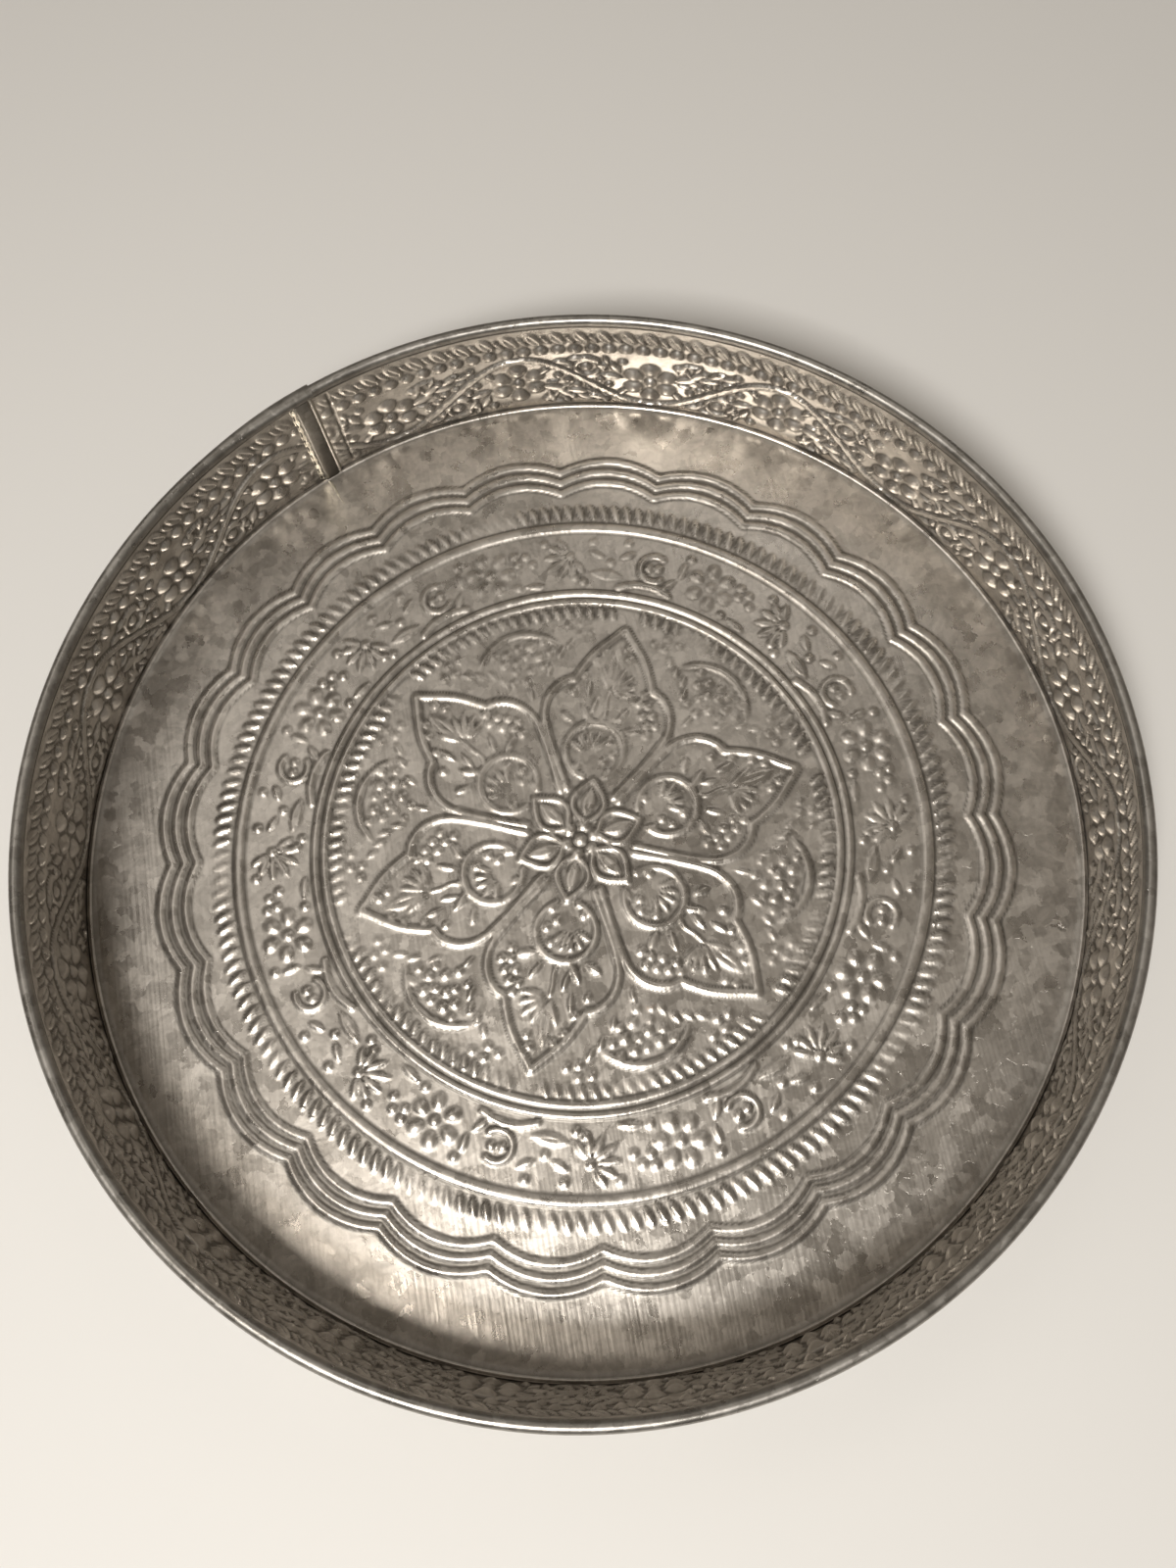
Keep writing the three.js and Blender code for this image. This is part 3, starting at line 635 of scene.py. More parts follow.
@dataclass(frozen=True)
class WallPattern:
    """The wall's ornament, on degrees round the tray and millimetres of height."""

    waves: int = 11
    vine_middle: float = 28.0
    vine_swing: float = 19.5
    vine_width: float = 4.4
    vine_side: float = 1.1
    vine_height: float = 1.5
    groove_reach: float = 1.1
    groove_depth: float = 0.55
    loops: int = 128
    loop_height: float = 63.0
    loop_lean: float = 52.0
    beads: int = 176
    bead_height: float = 54.0
    bead_radius: float = 3.5
    flower_radius: float = 15.5
    crease_away: float = 10.3
    crease_reach: float = 0.95
    crease_depth: float = 0.35
    seam_margin: float = 2.0
    soft_reach: float = 26.0
    foot: float = 7.0
    head: float = 69.8

    def _local(self, angle: Array, height: Array, count: int, phase: float) -> Pressing:
        """A field on one of the equal stretches of the wall, in millimetres."""
        along = np.radians(wrap(angle - phase, 360.0 / count)) * SIZES.wall_inner
        return Pressing(along, height)

    def borders(self, angle: Array, height: Array) -> Array:
        """The row of slanted loops, the leaves between them and the row of beads.

        Args:
            angle: places round the tray in degrees.
            height: heights in millimetres.

        Returns:
            Heights of the relief.
        """
        loops = self._local(angle, height, self.loops, 0.0)
        loops.egg(0.6, self.loop_height, self.loop_lean, 13.0, 7.0, 2.1, 0.15)
        groove = self._local(angle, height, self.loops, 0.0)
        groove.leaf(0.6, self.loop_height, self.loop_lean, 9.4, 3.4, 1.3)
        between = self._local(angle, height, self.loops, 180.0 / self.loops)
        between.leaf(0.2, self.loop_height - 0.6, self.loop_lean, 9.5, 3.4, 1.3)
        beads = self._local(angle, height, self.beads, 0.9)
        beads.bead(0, self.bead_height, self.bead_radius, 2.3)
        return np.maximum(np.maximum(loops.h - groove.h, between.h), beads.h)

    def vine(self, angle: Array, height: Array) -> Array:
        """The narrow band that waves along the wall, with a groove along its middle.

        Args:
            angle: places round the tray in degrees.
            height: heights in millimetres.

        Returns:
            Heights of the relief.
        """
        turn = np.radians(angle * self.waves)
        crest = self.vine_middle + self.vine_swing * np.cos(turn)
        slope = -self.vine_swing * self.waves / SIZES.wall_inner * np.sin(turn)
        away = np.abs(height - crest) / np.sqrt(1 + slope**2)
        rise = np.clip((self.vine_width / 2 - away) / self.vine_side, 0, 1)
        groove = np.clip(1 - (away / self.groove_reach) ** 2, 0, 1)
        return self.vine_height * ease(rise) - self.groove_depth * groove

    def sprays(self, angle: Array, height: Array, phase: float, side: float) -> Array:
        """The flower, leaves, curls and berries on the open side of the vine.

        Args:
            angle: places round the tray in degrees.
            height: heights in millimetres.
            phase: angle of a bend of the vine.
            side: 1 above the vine and -1 below it.

        Returns:
            Heights of the relief.
        """
        field_ = self._local(angle, side * (height - self.vine_middle), self.waves, phase)
        field_.flower(0, 0.0, self.flower_radius, 30, 2.8, 0.95)
        for x, y, turn, length in ((-19, 6, 165, 12), (-24.5, 11, 140, 11), (-17, 14.5, 105, 10),
                                   (-31.5, 9.5, 172, 11), (-35, 15, 150, 10), (-25, 17, 120, 7),
                                   (-42, 15, 165, 10), (-15, -10, 230, 8), (20.5, 3.5, 12, 11),
                                   (18.5, 11.0, 60, 10), (23, 17, 74, 6), (30, 3.5, -14, 9), (46, 16, 10, 9),
                                   (15, -10, -50, 8), (39, 18.4, -4, 8)):
            field_.leaf(x, y, turn, length * 1.1, length * 0.52, 1.9, vein=0.35)
        field_.arc(33, 11, 6.2, -150, 130, 1.6, 1.5)
        field_.bead(33.6, 11, 3.1, 1.9)
        field_.stem(curve([(24, 8.5), (27, 12.5), (28, 17), (33, 18.4), (38.5, 15)], 3), 1.5, 1.4)
        field_.stem(curve([(-29, 1), (-26, 4.5), (-22, 8), (-17, 17.5)], 3), 1.2, 1.1)
        field_.beads(2.5, 1.9, (14.6, 15.8), (-14.4, 15.2), (-28.5, 14.2), (24, 12.4), (42.4, 12.8),
                     (-46, 17.6), (26.5, 0.4), (-26.5, -0.6), (-21.5, -4.5), (22, -4), (-37.5, 5.6),
                     (36.5, 2.4), (-31, 4.2))
        for x, y, turn in ((-18.5, 0.5, 186), (-40, 10.5, 158), (-48, 13.5, 170), (40.5, 7.5, -20),
                           (50, 13.2, 12), (-21, 18.6, 172), (33, 19.2, 2)):
            field_.leaf(x, y, turn, 7.5, 3.2, 1.5)
        return field_.h

    def heights(self, angle: Array, height: Array) -> Array:
        """The wall's relief.

        Args:
            angle: places round the tray in degrees.
            height: heights over the table in millimetres.

        Returns:
            Heights over the plain wall, inwards, in millimetres.
        """
        relief = np.maximum(self.borders(angle, height), self.vine(angle, height))
        off_vine = np.abs(height - self.vine_middle - self.vine_swing * np.cos(np.radians(angle * self.waves)))
        sprays = np.maximum(self.sprays(angle, height, 180.0 / self.waves, 1.0),
                            self.sprays(angle, height, 0.0, -1.0))
        relief = np.maximum(relief, sprays * np.clip((off_vine - 3.0) / 0.8, 0, 1))
        from_seam = np.radians(wrap(angle - SIZES.seam_angle, 360.0)) * SIZES.wall_inner
        clear = np.abs(from_seam) - SIZES.seam_width / 2
        soft = 0.45 + 0.55 * np.clip(clear / self.soft_reach, 0, 1)
        fade = np.clip((clear - self.seam_margin) / 3.0, 0, 1) * soft
        ends = np.clip((height - self.foot) / 2.0, 0, 1) * np.clip((self.head - height) / 1.2, 0, 1)
        dents = 0.10 * np.sin(angle * 0.31 + 0.6) * np.sin(height * 0.06)
        from_crease = from_seam + SIZES.seam_width / 2 + self.crease_away
        crease = np.clip(1 - (from_crease / self.crease_reach) ** 2, 0, 1)
        relief = relief * fade * (0.93 + 0.07 * np.sin(np.radians(angle) * 5 + 1)) * (1 - crease)
        return (relief + dents - self.crease_depth * crease) * ends


class Bench:
    """The operators that shape a piece, in the order in which they are used by hand."""

    @staticmethod
    def grid(name: str, columns: int, rows: int) -> Piece:
        """A flat square grid, which every piece of sheet and wire starts from.

        Args:
            name: name of the piece.
            columns: faces along the first coordinate.
            rows: faces along the second coordinate.

        Returns:
            The grid.
        """
        bpy.ops.object.select_all(action="DESELECT")
        bpy.ops.mesh.primitive_grid_add(x_subdivisions=columns, y_subdivisions=rows, size=2.0)
        piece = bpy.context.active_object
        piece.name = piece.data.name = name
        return piece

    @staticmethod
    def points(piece: Piece) -> Array:
        """The places of a mesh's vertices.

        Args:
            piece: the piece.

        Returns:
            One row for each vertex.
        """
        flat = np.empty(len(piece.data.vertices) * 3)
        piece.data.vertices.foreach_get("co", flat)
        return flat.reshape(-1, 3)

    @staticmethod
    def shares(piece: Piece) -> tuple[Array, Array]:
        """How far the vertices of a flat grid lie along its two sides, from 0 to 1."""
        flat = Bench.points(piece)
        return (flat[:, 0] + 1) / 2, (flat[:, 1] + 1) / 2

    @staticmethod
    def place(piece: Piece, points: Array) -> None:
        """Moves every vertex of a mesh to its place."""
        piece.data.vertices.foreach_set("co", np.ascontiguousarray(points, dtype=float).ravel())
        piece.data.update()

    @staticmethod
    def place_round(piece: Piece, radius: Array, angle: Array, height: Array) -> None:
        """Moves every vertex to its place round the tray, given in millimetres and radians."""
        Bench.place(piece, np.stack([radius * np.cos(angle), radius * np.sin(angle), height], axis=1) * MM)

    @staticmethod
    def close_round(piece: Piece, radius: Array, height: Array) -> None:
        """Bends a grid once round the tray, at radii and heights in millimetres, and welds its ends."""
        Bench.place_round(piece, radius, -math.pi * Bench.points(piece)[:, 0], height)
        Bench.weld(piece)

    @staticmethod
    def pick(*pieces: Piece) -> None:
        """Selects these pieces alone and makes the first one active.

        Args:
            pieces: the pieces.
        """
        bpy.ops.object.select_all(action="DESELECT")
        for piece in pieces:
            piece.select_set(True)
        bpy.context.view_layer.objects.active = pieces[0]

    @staticmethod
    def edit(piece: Piece, chosen: Optional[Array] = None) -> None:
        """Opens a piece in edit mode with all of it, or the chosen vertices, selected.

        Args:
            piece: the piece to open.
            chosen: a flag for each vertex.
        """
        Bench.pick(piece)
        if chosen is not None:
            mesh = piece.data
            mesh.polygons.foreach_set("select", np.zeros(len(mesh.polygons), dtype=bool))
            mesh.edges.foreach_set("select", np.zeros(len(mesh.edges), dtype=bool))
            mesh.vertices.foreach_set("select", chosen)
        bpy.ops.object.mode_set(mode="EDIT")
        bpy.ops.mesh.select_mode(type="VERT")
        if chosen is None:
            bpy.ops.mesh.select_all(action="SELECT")

    @staticmethod
    def leave() -> None:
        """Goes back to object mode."""
        bpy.ops.object.mode_set(mode="OBJECT")

    @staticmethod
    def weld(piece: Piece, reach: float = 2e-6) -> None:
        """Merges the vertices that meet, such as the two edges of a closed round.

        Args:
            piece: the piece.
            reach: how far apart they may lie, in metres.
        """
        Bench.edit(piece)
        bpy.ops.mesh.remove_doubles(threshold=reach)
        Bench.leave()

    @staticmethod
    def cap(piece: Piece, chosen: Array) -> None:
        """Closes a hole.

        Args:
            piece: the piece with the hole.
            chosen: a flag for each vertex, set for those round the hole.
        """
        Bench.edit(piece, chosen)
        bpy.ops.mesh.edge_face_add()
        Bench.leave()

    @staticmethod
    def thicken(piece: Piece, thickness: float) -> None:
        """Gives a sheet its thickness behind its face.

        Args:
            piece: the sheet.
            thickness: its thickness in millimetres.
        """
        modifier = piece.modifiers.new("sheet", "SOLIDIFY")
        modifier.thickness = thickness * MM
        modifier.offset = -1.0
        Bench.apply(piece, modifier.name)

    @staticmethod
    def apply(piece: Piece, name: str) -> None:
        """Applies a modifier."""
        Bench.pick(piece)
        bpy.ops.object.modifier_apply(modifier=name)

    @staticmethod
    def smooth(piece: Piece, degrees: float = 40.0) -> None:
        """Shades a piece smooth, apart from its sharp edges."""
        Bench.pick(piece)
        bpy.ops.object.shade_smooth_by_angle(angle=math.radians(degrees))

    @staticmethod
    def solid(piece: Piece, thickness: float, degrees: float = 40.0) -> Piece:
        """Gives a sheet its thickness and shades it.

        Args:
            piece: the sheet.
            thickness: its thickness in millimetres.
            degrees: angle from which an edge is sharp.

        Returns:
            The sheet.
        """
        Bench.thicken(piece, thickness)
        Bench.smooth(piece, degrees)
        return piece

    @staticmethod
    def join(pieces: list[Piece]) -> Piece:
        """Joins pieces into the first of them.

        Args:
            pieces: the pieces to join.

        Returns:
            The joined piece.
        """
        Bench.pick(*pieces)
        bpy.ops.object.join()
        return pieces[0]

    @staticmethod
    def note(piece: Piece, name: str, values: Array) -> None:
        """Keeps a number at every vertex for the finish to read."""
        layer = piece.data.attributes.new(name, "FLOAT", "POINT")
        layer.data.foreach_set("value", values.astype(np.float32))

    @staticmethod
    def hollows(piece: Piece, heights: Array, rounds: int = 5) -> Array:
        """How far each vertex lies below the sheet round it.

        Args:
            piece: the piece.
            heights: height of the relief at every vertex.
            rounds: how often the heights are averaged with their neighbours.

        Returns:
            Depths in millimetres, 0 where the vertex isn't lower.
        """
        ends = np.empty(len(piece.data.edges) * 2, dtype=np.int32)
        piece.data.edges.foreach_get("vertices", ends)
        a, b = ends[0::2], ends[1::2]
        count = len(heights)
        degree = np.bincount(a, minlength=count) + np.bincount(b, minlength=count) + 1.0
        mean = heights.copy()
        for _ in range(rounds):
            total = np.bincount(a, mean[b], count) + np.bincount(b, mean[a], count)
            mean = (mean + total) / degree
        return np.clip(mean - heights, 0, None)

    @staticmethod
    def finish_sheet(piece: Piece, relief: Array, hollow: Optional[Array] = None) -> Piece:
        """Notes what the finish needs, gives the sheet its thickness and smooths it.

        Args:
            piece: the sheet.
            relief: height of the relief at every vertex, in millimetres.
            hollow: depth of the hollow that tarnish and painted shade keep to, found from the relief if left
                out.

        Returns:
            The sheet.
        """
        Bench.note(piece, "relief", relief)
        Bench.note(piece, "hollow", Bench.hollows(piece, relief) if hollow is None else hollow)
        return Bench.solid(piece, SIZES.sheet)


@dataclass(frozen=True)
class Tint:
    """A colour, in linear light."""

    red: float
    green: float
    blue: float

    @property
    def rgba(self) -> tuple[float, float, float, float]:
        """The colour with full cover."""
        return self.red, self.green, self.blue, 1.0


class Recipe:
    """A material that is built up node by node."""

    def __init__(self, name: str) -> None:
        """Starts a material with one shader.

        Args:
            name: name of the material.
        """
        self.material = bpy.data.materials.new(name)
        self.material.use_nodes = True
        self.tree = self.material.node_tree
        self.shader = next(node for node in self.tree.nodes if node.type == "BSDF_PRINCIPLED")
        self.place = self.add("ShaderNodeTexCoord").outputs["Object"]

    def add(self, kind: str, feeds: Optional[dict] = None, **settings: object) -> bpy.types.Node:
        """Adds a node.

        Args:
            kind: its kind.
            feeds: what goes into its inputs, by their name or number.
            settings: its settings.

        Returns:
            The node.
        """
        node = self.tree.nodes.new(kind)
        for key, value in settings.items():
            setattr(node, key, value)
        for key, value in (feeds or {}).items():
            self.feed(node.inputs[key], value)
        return node

    def feed(self, socket: Socket, value: object) -> None:
        """Links an output to a socket, or sets a number or colour on it.

        Args:
            socket: the socket.
            value: the output, number or colour.
        """
        if isinstance(value, Socket):
            self.tree.links.new(value, socket)
        else:
            socket.default_value = value

    def math(self, operation: str, first: object, second: object = 0.0, clamp: bool = False) -> Socket:
        """The result of one sum, kept between 0 and 1 if it is clamped."""
        node = self.add("ShaderNodeMath", {0: first, 1: second}, operation=operation, use_clamp=clamp)
        return node.outputs[0]

    def span(self, value: object, low: float, high: float, bottom: float = 0.0,
             top: float = 1.0) -> Socket:
        """A value's stretch from low to high, mapped to bottom to top.

        Args:
            value: the value.
            low: start of the stretch.
            high: end of the stretch.
            bottom: result at its start.
            top: result at its end.

        Returns:
            The output.
        """
        node = self.add("ShaderNodeMapRange", {0: value, 1: low, 2: high, 3: bottom, 4: top},
                        interpolation_type="SMOOTHSTEP")
        return node.outputs[0]

    def noise(self, scale: float, detail: float = 3.0, where: Optional[object] = None,
              rough: float = 0.5) -> Socket:
        """Soft clouds of about 0 to 1, so many per metre, with finer layers as strong as rough."""
        return self.add("ShaderNodeTexNoise", {"Vector": where or self.place, "Scale": scale,
                                               "Detail": detail, "Roughness": rough}).outputs["Fac"]

    def crystals(self, scale: float, blur: float) -> Socket:
        """The patchwork of crystals on galvanised sheet.

        Args:
            scale: crystals per metre.
            blur: how far their edges wander, in metres.

        Returns:
            A value for each crystal, from 0 to 1.
        """
        wander = self.add("ShaderNodeTexNoise", {"Vector": self.place, "Scale": scale * 2.2,
                                                 "Detail": 4.0, "Roughness": 0.65})
        shift = self.add("ShaderNodeVectorMath", {0: wander.outputs["Color"], "Scale": blur}, operation="SCALE")
        moved = self.add("ShaderNodeVectorMath", {0: self.place, 1: shift.outputs[0]}, operation="ADD")
        cells = self.add("ShaderNodeTexVoronoi", {"Vector": moved.outputs[0], "Scale": scale})
        return self.add("ShaderNodeSeparateColor", {0: cells.outputs["Color"]}).outputs[0]

    def needles(self, scale: float, turn: object, stretch: float, detail: float = 2.0) -> Socket:
        """Fine lines that all lie one way.

        Args:
            scale: lines per metre.
            turn: angle that brings their direction to the first axis, in radians.
            stretch: thickness of a line as a share of its length.
            detail: how many finer layers they have.

        Returns:
            The output, about 0 to 1.
        """
        turned = self.add("ShaderNodeVectorRotate", {"Vector": self.place, "Angle": turn},
                          rotation_type="Z_AXIS")
        drawn = self.add("ShaderNodeVectorMath", {0: turned.outputs[0], 1: (stretch, 1.0, 1.0)},
                         operation="MULTIPLY")
        return self.noise(scale, detail, drawn.outputs[0])

    def attribute(self, name: str) -> Socket:
        """A number that was noted at the vertices."""
        return self.add("ShaderNodeAttribute", attribute_name=name).outputs["Fac"]

    def total(self, start: object, *parts: tuple[object, float]) -> Socket:
        """A value with weighted parts added to it.

        Args:
            start: the value, a number or an output.
            parts: pairs of an output and its weight.

        Returns:
            The output.
        """
        for part, weight in parts:
            start = self.math("ADD", start, self.math("MULTIPLY", part, weight))
        return start

    def blend(self, share: object, first: object, second: object) -> Socket:
        """Two colours blended, by the share of the second one."""
        node = self.add("ShaderNodeMix", {0: share, 6: first, 7: second}, data_type="RGBA", blend_type="MIX")
        return node.outputs[2]

    def finish(self, colour: object, rough: object, metallic: float,
               *layers: tuple[object, float]) -> Material:
        """Completes the material.

        Args:
            colour: its colour.
            rough: its roughness.
            metallic: how metallic it is, from 0 to 1.
            layers: fine relief, as pairs of a height from 0 to 1 and the metres that 1 stands for.

        Returns:
            The material.
        """
        normal = None
        for height, distance in layers:
            node = self.add("ShaderNodeBump", {"Height": height, "Distance": distance, "Strength": 1.0})
            if normal is not None:
                self.feed(node.inputs["Normal"], normal)
            normal = node.outputs[0]
        for name, value in (("Base Color", colour), ("Roughness", rough), ("Metallic", metallic),
                            ("Normal", normal)):
            self.feed(self.shader.inputs[name], value)
        return self.material


@dataclass(frozen=True)
class ZincFinish:
    """Galvanised sheet: crystals, tarnish and painted shade in the hollows, and heights lightened for rubbed
    wear and a painted highlight.
    """

    name: str
    light: Tint = Tint(0.62, 0.575, 0.52)
    dark: Tint = Tint(0.35, 0.322, 0.288)
    # Colour of real tarnish, also used for the painted shade in the hollows and at the foot.
    tarnish: Tint = Tint(0.085, 0.074, 0.060)
    rust: Tint = Tint(0.24, 0.12, 0.05)
    metallic: float = 0.9
    roughness: float = 0.21
    crystal_scale: float = 62.0
    striations: bool = False
    grain_turn: float = 101.0
    pressed: bool = True
    foot_shade: float = 0.0
    tarnish_and_shade: float = 0.74

    def material(self) -> Material:
        """Makes the material.

        Returns:
            The material.
        """
        recipe = Recipe(self.name)
        cells = recipe.crystals(self.crystal_scale, 0.014)
        small = recipe.crystals(self.crystal_scale * 2.6, 0.006)
        clouds = recipe.noise(9.0, 4.0)
        grain = recipe.noise(420.0, 3.0, rough=0.65)
        feather = recipe.needles(260.0, recipe.math("MULTIPLY", small, 2 * math.pi), 0.16)
        patch = recipe.total(0.0, (cells, 0.10), (small, 0.16), (clouds, 0.12), (grain, 0.24), (feather, 0.38))
        colour = recipe.blend(recipe.span(patch, 0.28, 0.72), self.dark.rgba, self.light.rgba)
        soil = recipe.span(recipe.noise(26.0, 5.0, rough=0.6), 0.45, 0.75, 0.0, 0.22)
        colour = recipe.blend(recipe.math("MULTIPLY", soil, recipe.span(grain, 0.3, 0.7, 0.5, 1.0)),
                              colour, self.tarnish.rgba)
        rough = recipe.total(self.roughness, (cells, 0.08), (small, 0.10), (clouds, 0.05))
        if self.pressed:
            # Darker where the sheet lies in a hollow: real tarnish and painted shade in the recesses.
            depth = recipe.attribute("hollow")
            tarnish_and_shade = recipe.span(depth, 0.03, 0.28, 0.0, self.tarnish_and_shade)
            colour = recipe.blend(tarnish_and_shade, colour, self.tarnish.rgba)
            # Lighter on the raised parts: rubbed wear and a painted highlight.
            crest = recipe.span(recipe.attribute("relief"), 0.6, 1.4, 0.0, 0.2)
            colour = recipe.blend(crest, colour, self.light.rgba)
            rough = recipe.total(rough, (tarnish_and_shade, 0.25))
        # Darker towards the foot of the piece: painted shade.
        if self.foot_shade:
            split = recipe.add("ShaderNodeSeparateXYZ", {0: recipe.place})
            painted_foot_shade = recipe.span(split.outputs[2], 0.008, 0.066, self.foot_shade, 0.1 * self.foot_shade)
            colour = recipe.blend(painted_foot_shade, colour, self.tarnish.rgba)
        spots = recipe.span(recipe.noise(33.0, 6.0, rough=0.7), 0.69, 0.78, 0.0, 0.5)
        colour = recipe.blend(spots, colour, self.rust.rgba)
        rough = recipe.math("ADD", rough, recipe.math("MULTIPLY", spots, 0.3), clamp=True)
        layers = [(recipe.noise(38.0, 2.0), 0.00028), (recipe.noise(110.0, 2.0), 0.00007),
                  (feather, 0.00007), (grain, 0.000025)]
        if self.striations:
            layers.append((recipe.needles(620.0, math.radians(-self.grain_turn), 0.02, 0.5), 0.00008))
        return recipe.finish(colour, rough, self.metallic, *layers)


@dataclass(frozen=True)
class SolderFinish:
    """Soft solder: pale, lumpy and a little dull."""

    name: str
    pale: Tint = Tint(0.78, 0.73, 0.62)
    dull: Tint = Tint(0.44, 0.40, 0.33)
    metallic: float = 0.85

    def material(self) -> Material:
        """Makes the material.

        Returns:
            The material.
        """
        recipe = Recipe(self.name)
        clouds = recipe.noise(160.0, 4.0)
        lumps = recipe.noise(420.0, 2.0)
        colour = recipe.blend(recipe.span(clouds, 0.35, 0.65), self.dull.rgba, self.pale.rgba)
        return recipe.finish(colour, recipe.span(lumps, 0.2, 0.8, 0.32, 0.55), self.metallic,
                             (lumps, 0.00025), (recipe.noise(1500.0, 2.0), 0.00003))


@dataclass(frozen=True)
class WireFinish:
    """Galvanised wire and strip: drawn along, with specks of tarnish."""

    name: str
    light: Tint = Tint(0.50, 0.49, 0.47)
    dark: Tint = Tint(0.26, 0.255, 0.25)
    metallic: float = 0.95

    def material(self) -> Material:
        """Makes the material.

        Returns:
            The material.
        """
        recipe = Recipe(self.name)
        clouds = recipe.noise(110.0, 5.0, rough=0.6)
        specks = recipe.noise(700.0, 3.0)
        colour = recipe.blend(recipe.span(clouds, 0.3, 0.7), self.dark.rgba, self.light.rgba)
        colour = recipe.blend(recipe.span(specks, 0.6, 0.75, 0.0, 0.6), colour, self.dark.rgba)
        return recipe.finish(colour, recipe.span(specks, 0.3, 0.7, 0.3, 0.5), self.metallic,
                             (clouds, 0.00012), (specks, 0.00002))


def finish_piece(piece: Piece, body: Body, slot: Slot, material: Material, *nodes: str) -> Piece:
    """Dresses a piece and ties it to the frame.

    Args:
        piece: the piece.
        body: the body that it rides on.
        slot: the slot that its finish belongs to; not used.
        material: its material.
        nodes: the nodes of the frame that it stands for.

    Returns:
        The piece.
    """
    piece.data.materials.clear()
    piece.data.materials.append(material)
    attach(piece, body.value)
    for node in nodes:
        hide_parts(node)
    LOG.info("%s: %d faces", piece.name, len(piece.data.polygons))
    return piece


@dataclass
class EmbossedFloor:
    """The base disc, pressed from one sheet, with its edge turned down."""

    pattern: FloorPattern = field(default_factory=FloorPattern)
    middle_bands: tuple[tuple[int, int, float, float], ...] = (
        (20, 3, 0.6, 4.0), (40, 4, 4.0, 8.0), (80, 7, 8.0, 16.0),
        (160, 14, 16.0, 32.0), (320, 28, 32.0, 64.0), (640, 56, 64.0, 129.0))
    flower_grid: tuple[int, int] = (1000, 44)
    scallop_grid: tuple[int, int] = (1100, 43)
    plain_from: float = 212.0
    edge_columns: int = 720
    lip_width: float = 2.0
    lip_height: float = 0.55
    # How much the lip's rise lightens it: rubbed wear and a painted highlight.
    lip_wear_and_highlight: float = 2.5
    skirt_middle: float = 2.1

    def middle(self) -> Piece:
        """The part inside the inner double ring, with the flower of leaves.

        Returns:
            The piece.
        """
        parts = []
        for number, (columns, rows, inner, outer) in enumerate(self.middle_bands):
            part = Bench.grid(f"floor_middle_{number}", columns, rows)
            if number + 1 < len(self.middle_bands):
                Bench.edit(part, Bench.points(part)[:, 1] > 0.9999)
                bpy.ops.mesh.subdivide(number_cuts=1)
                Bench.leave()
            flat = Bench.points(part)
            flat[:, 1] = inner + (flat[:, 1] + 1) / 2 * (outer - inner)
            Bench.place(part, flat)
            parts.append(part)
        piece = Bench.join(parts)
        piece.name = piece.data.name = "floor_middle"
        return self._press(piece, Bench.points(piece)[:, 1], self.middle_bands[0][2])

    def band(self, name: str, grid: tuple[int, int], inner: float, outer: float) -> Piece:
        """A flat ring of the floor between two radii, on a grid of so many columns and rows."""
        piece = Bench.grid(name, *grid)
        return self._press(piece, inner + Bench.shares(piece)[1] * (outer - inner))

    def _press(self, piece: Piece, radius: Array, hole: Optional[float] = None) -> Piece:
        """Bends a grid round, presses the pattern into it and finishes it.

        Args:
            piece: the grid.
            radius: radius of every vertex.
            hole: radius of the hole in the middle that is closed.

        Returns:
            The piece.
        """
        Bench.close_round(piece, radius, np.full_like(radius, SIZES.floor_height))
        flat = Bench.points(piece)
        x, y = flat[:, 0] / MM, flat[:, 1] / MM
        relief = self.pattern.heights(x, y)
        flat[:, 2] += relief * MM
        Bench.place(piece, flat)
        if hole is not None:
            Bench.cap(piece, np.hypot(x, y) < hole + 0.01)
        return Bench.finish_sheet(piece, relief)

    def edge(self) -> Piece:
        """The plain border with the shoulder and the skirt.

        Returns:
            The piece.
        """
        plain, steps = SIZES.flat_radius - self.lip_width, 8
        outline = [(radius, SIZES.floor_height) for radius in np.linspace(self.plain_from, plain, 10)]
        outline += [(plain + self.lip_width * step / steps,
                     SIZES.floor_height + self.lip_height * math.sin(math.pi * step / steps) ** 1.3)
                    for step in range(1, steps)]
        outline += round_bend(SIZES.flat_radius, SIZES.floor_height - SIZES.shoulder, SIZES.shoulder,
                              range(90, -1, -15))
        outline += [(SIZES.skirt_outer, self.skirt_middle), (SIZES.skirt_outer, SIZES.skirt_foot)]
        piece = Bench.grid("floor_edge", self.edge_columns, len(outline) - 1)
        Bench.close_round(piece, *follow(outline, Bench.shares(piece)[1]))
        flat = Bench.points(piece)
        radius = np.hypot(flat[:, 0], flat[:, 1]) / MM
        inside = radius < SIZES.flat_radius
        relief = np.where(inside, self.pattern.heights(flat[:, 0] / MM, flat[:, 1] / MM), 0.0)
        lip = np.clip(flat[:, 2] / MM - SIZES.floor_height, 0, None)
        flat[:, 2] += relief * MM
        Bench.place(piece, flat)
        # The lip's rise is added to the relief, so the finish paints the shoulder lighter: rubbed wear and a
        # painted highlight.
        return Bench.finish_sheet(piece, relief + lip * self.lip_wear_and_highlight)

    def build(self) -> None:
        """Builds and dresses the floor's pieces."""
        pressed = ZincFinish("zinc_of_the_floor", striations=True).material()
        pattern = self.pattern
        pieces = [
            self.middle(),
            self.band("floor_flower_band", self.flower_grid, pattern.inner_ring, pattern.outer_ring),
            self.band("floor_scallops", self.scallop_grid, pattern.outer_ring, self.plain_from),
            self.edge(),
        ]
        for piece in pieces:
            finish_piece(piece, Body.TRAY, Slot.FLOOR, pressed, "base_disc")


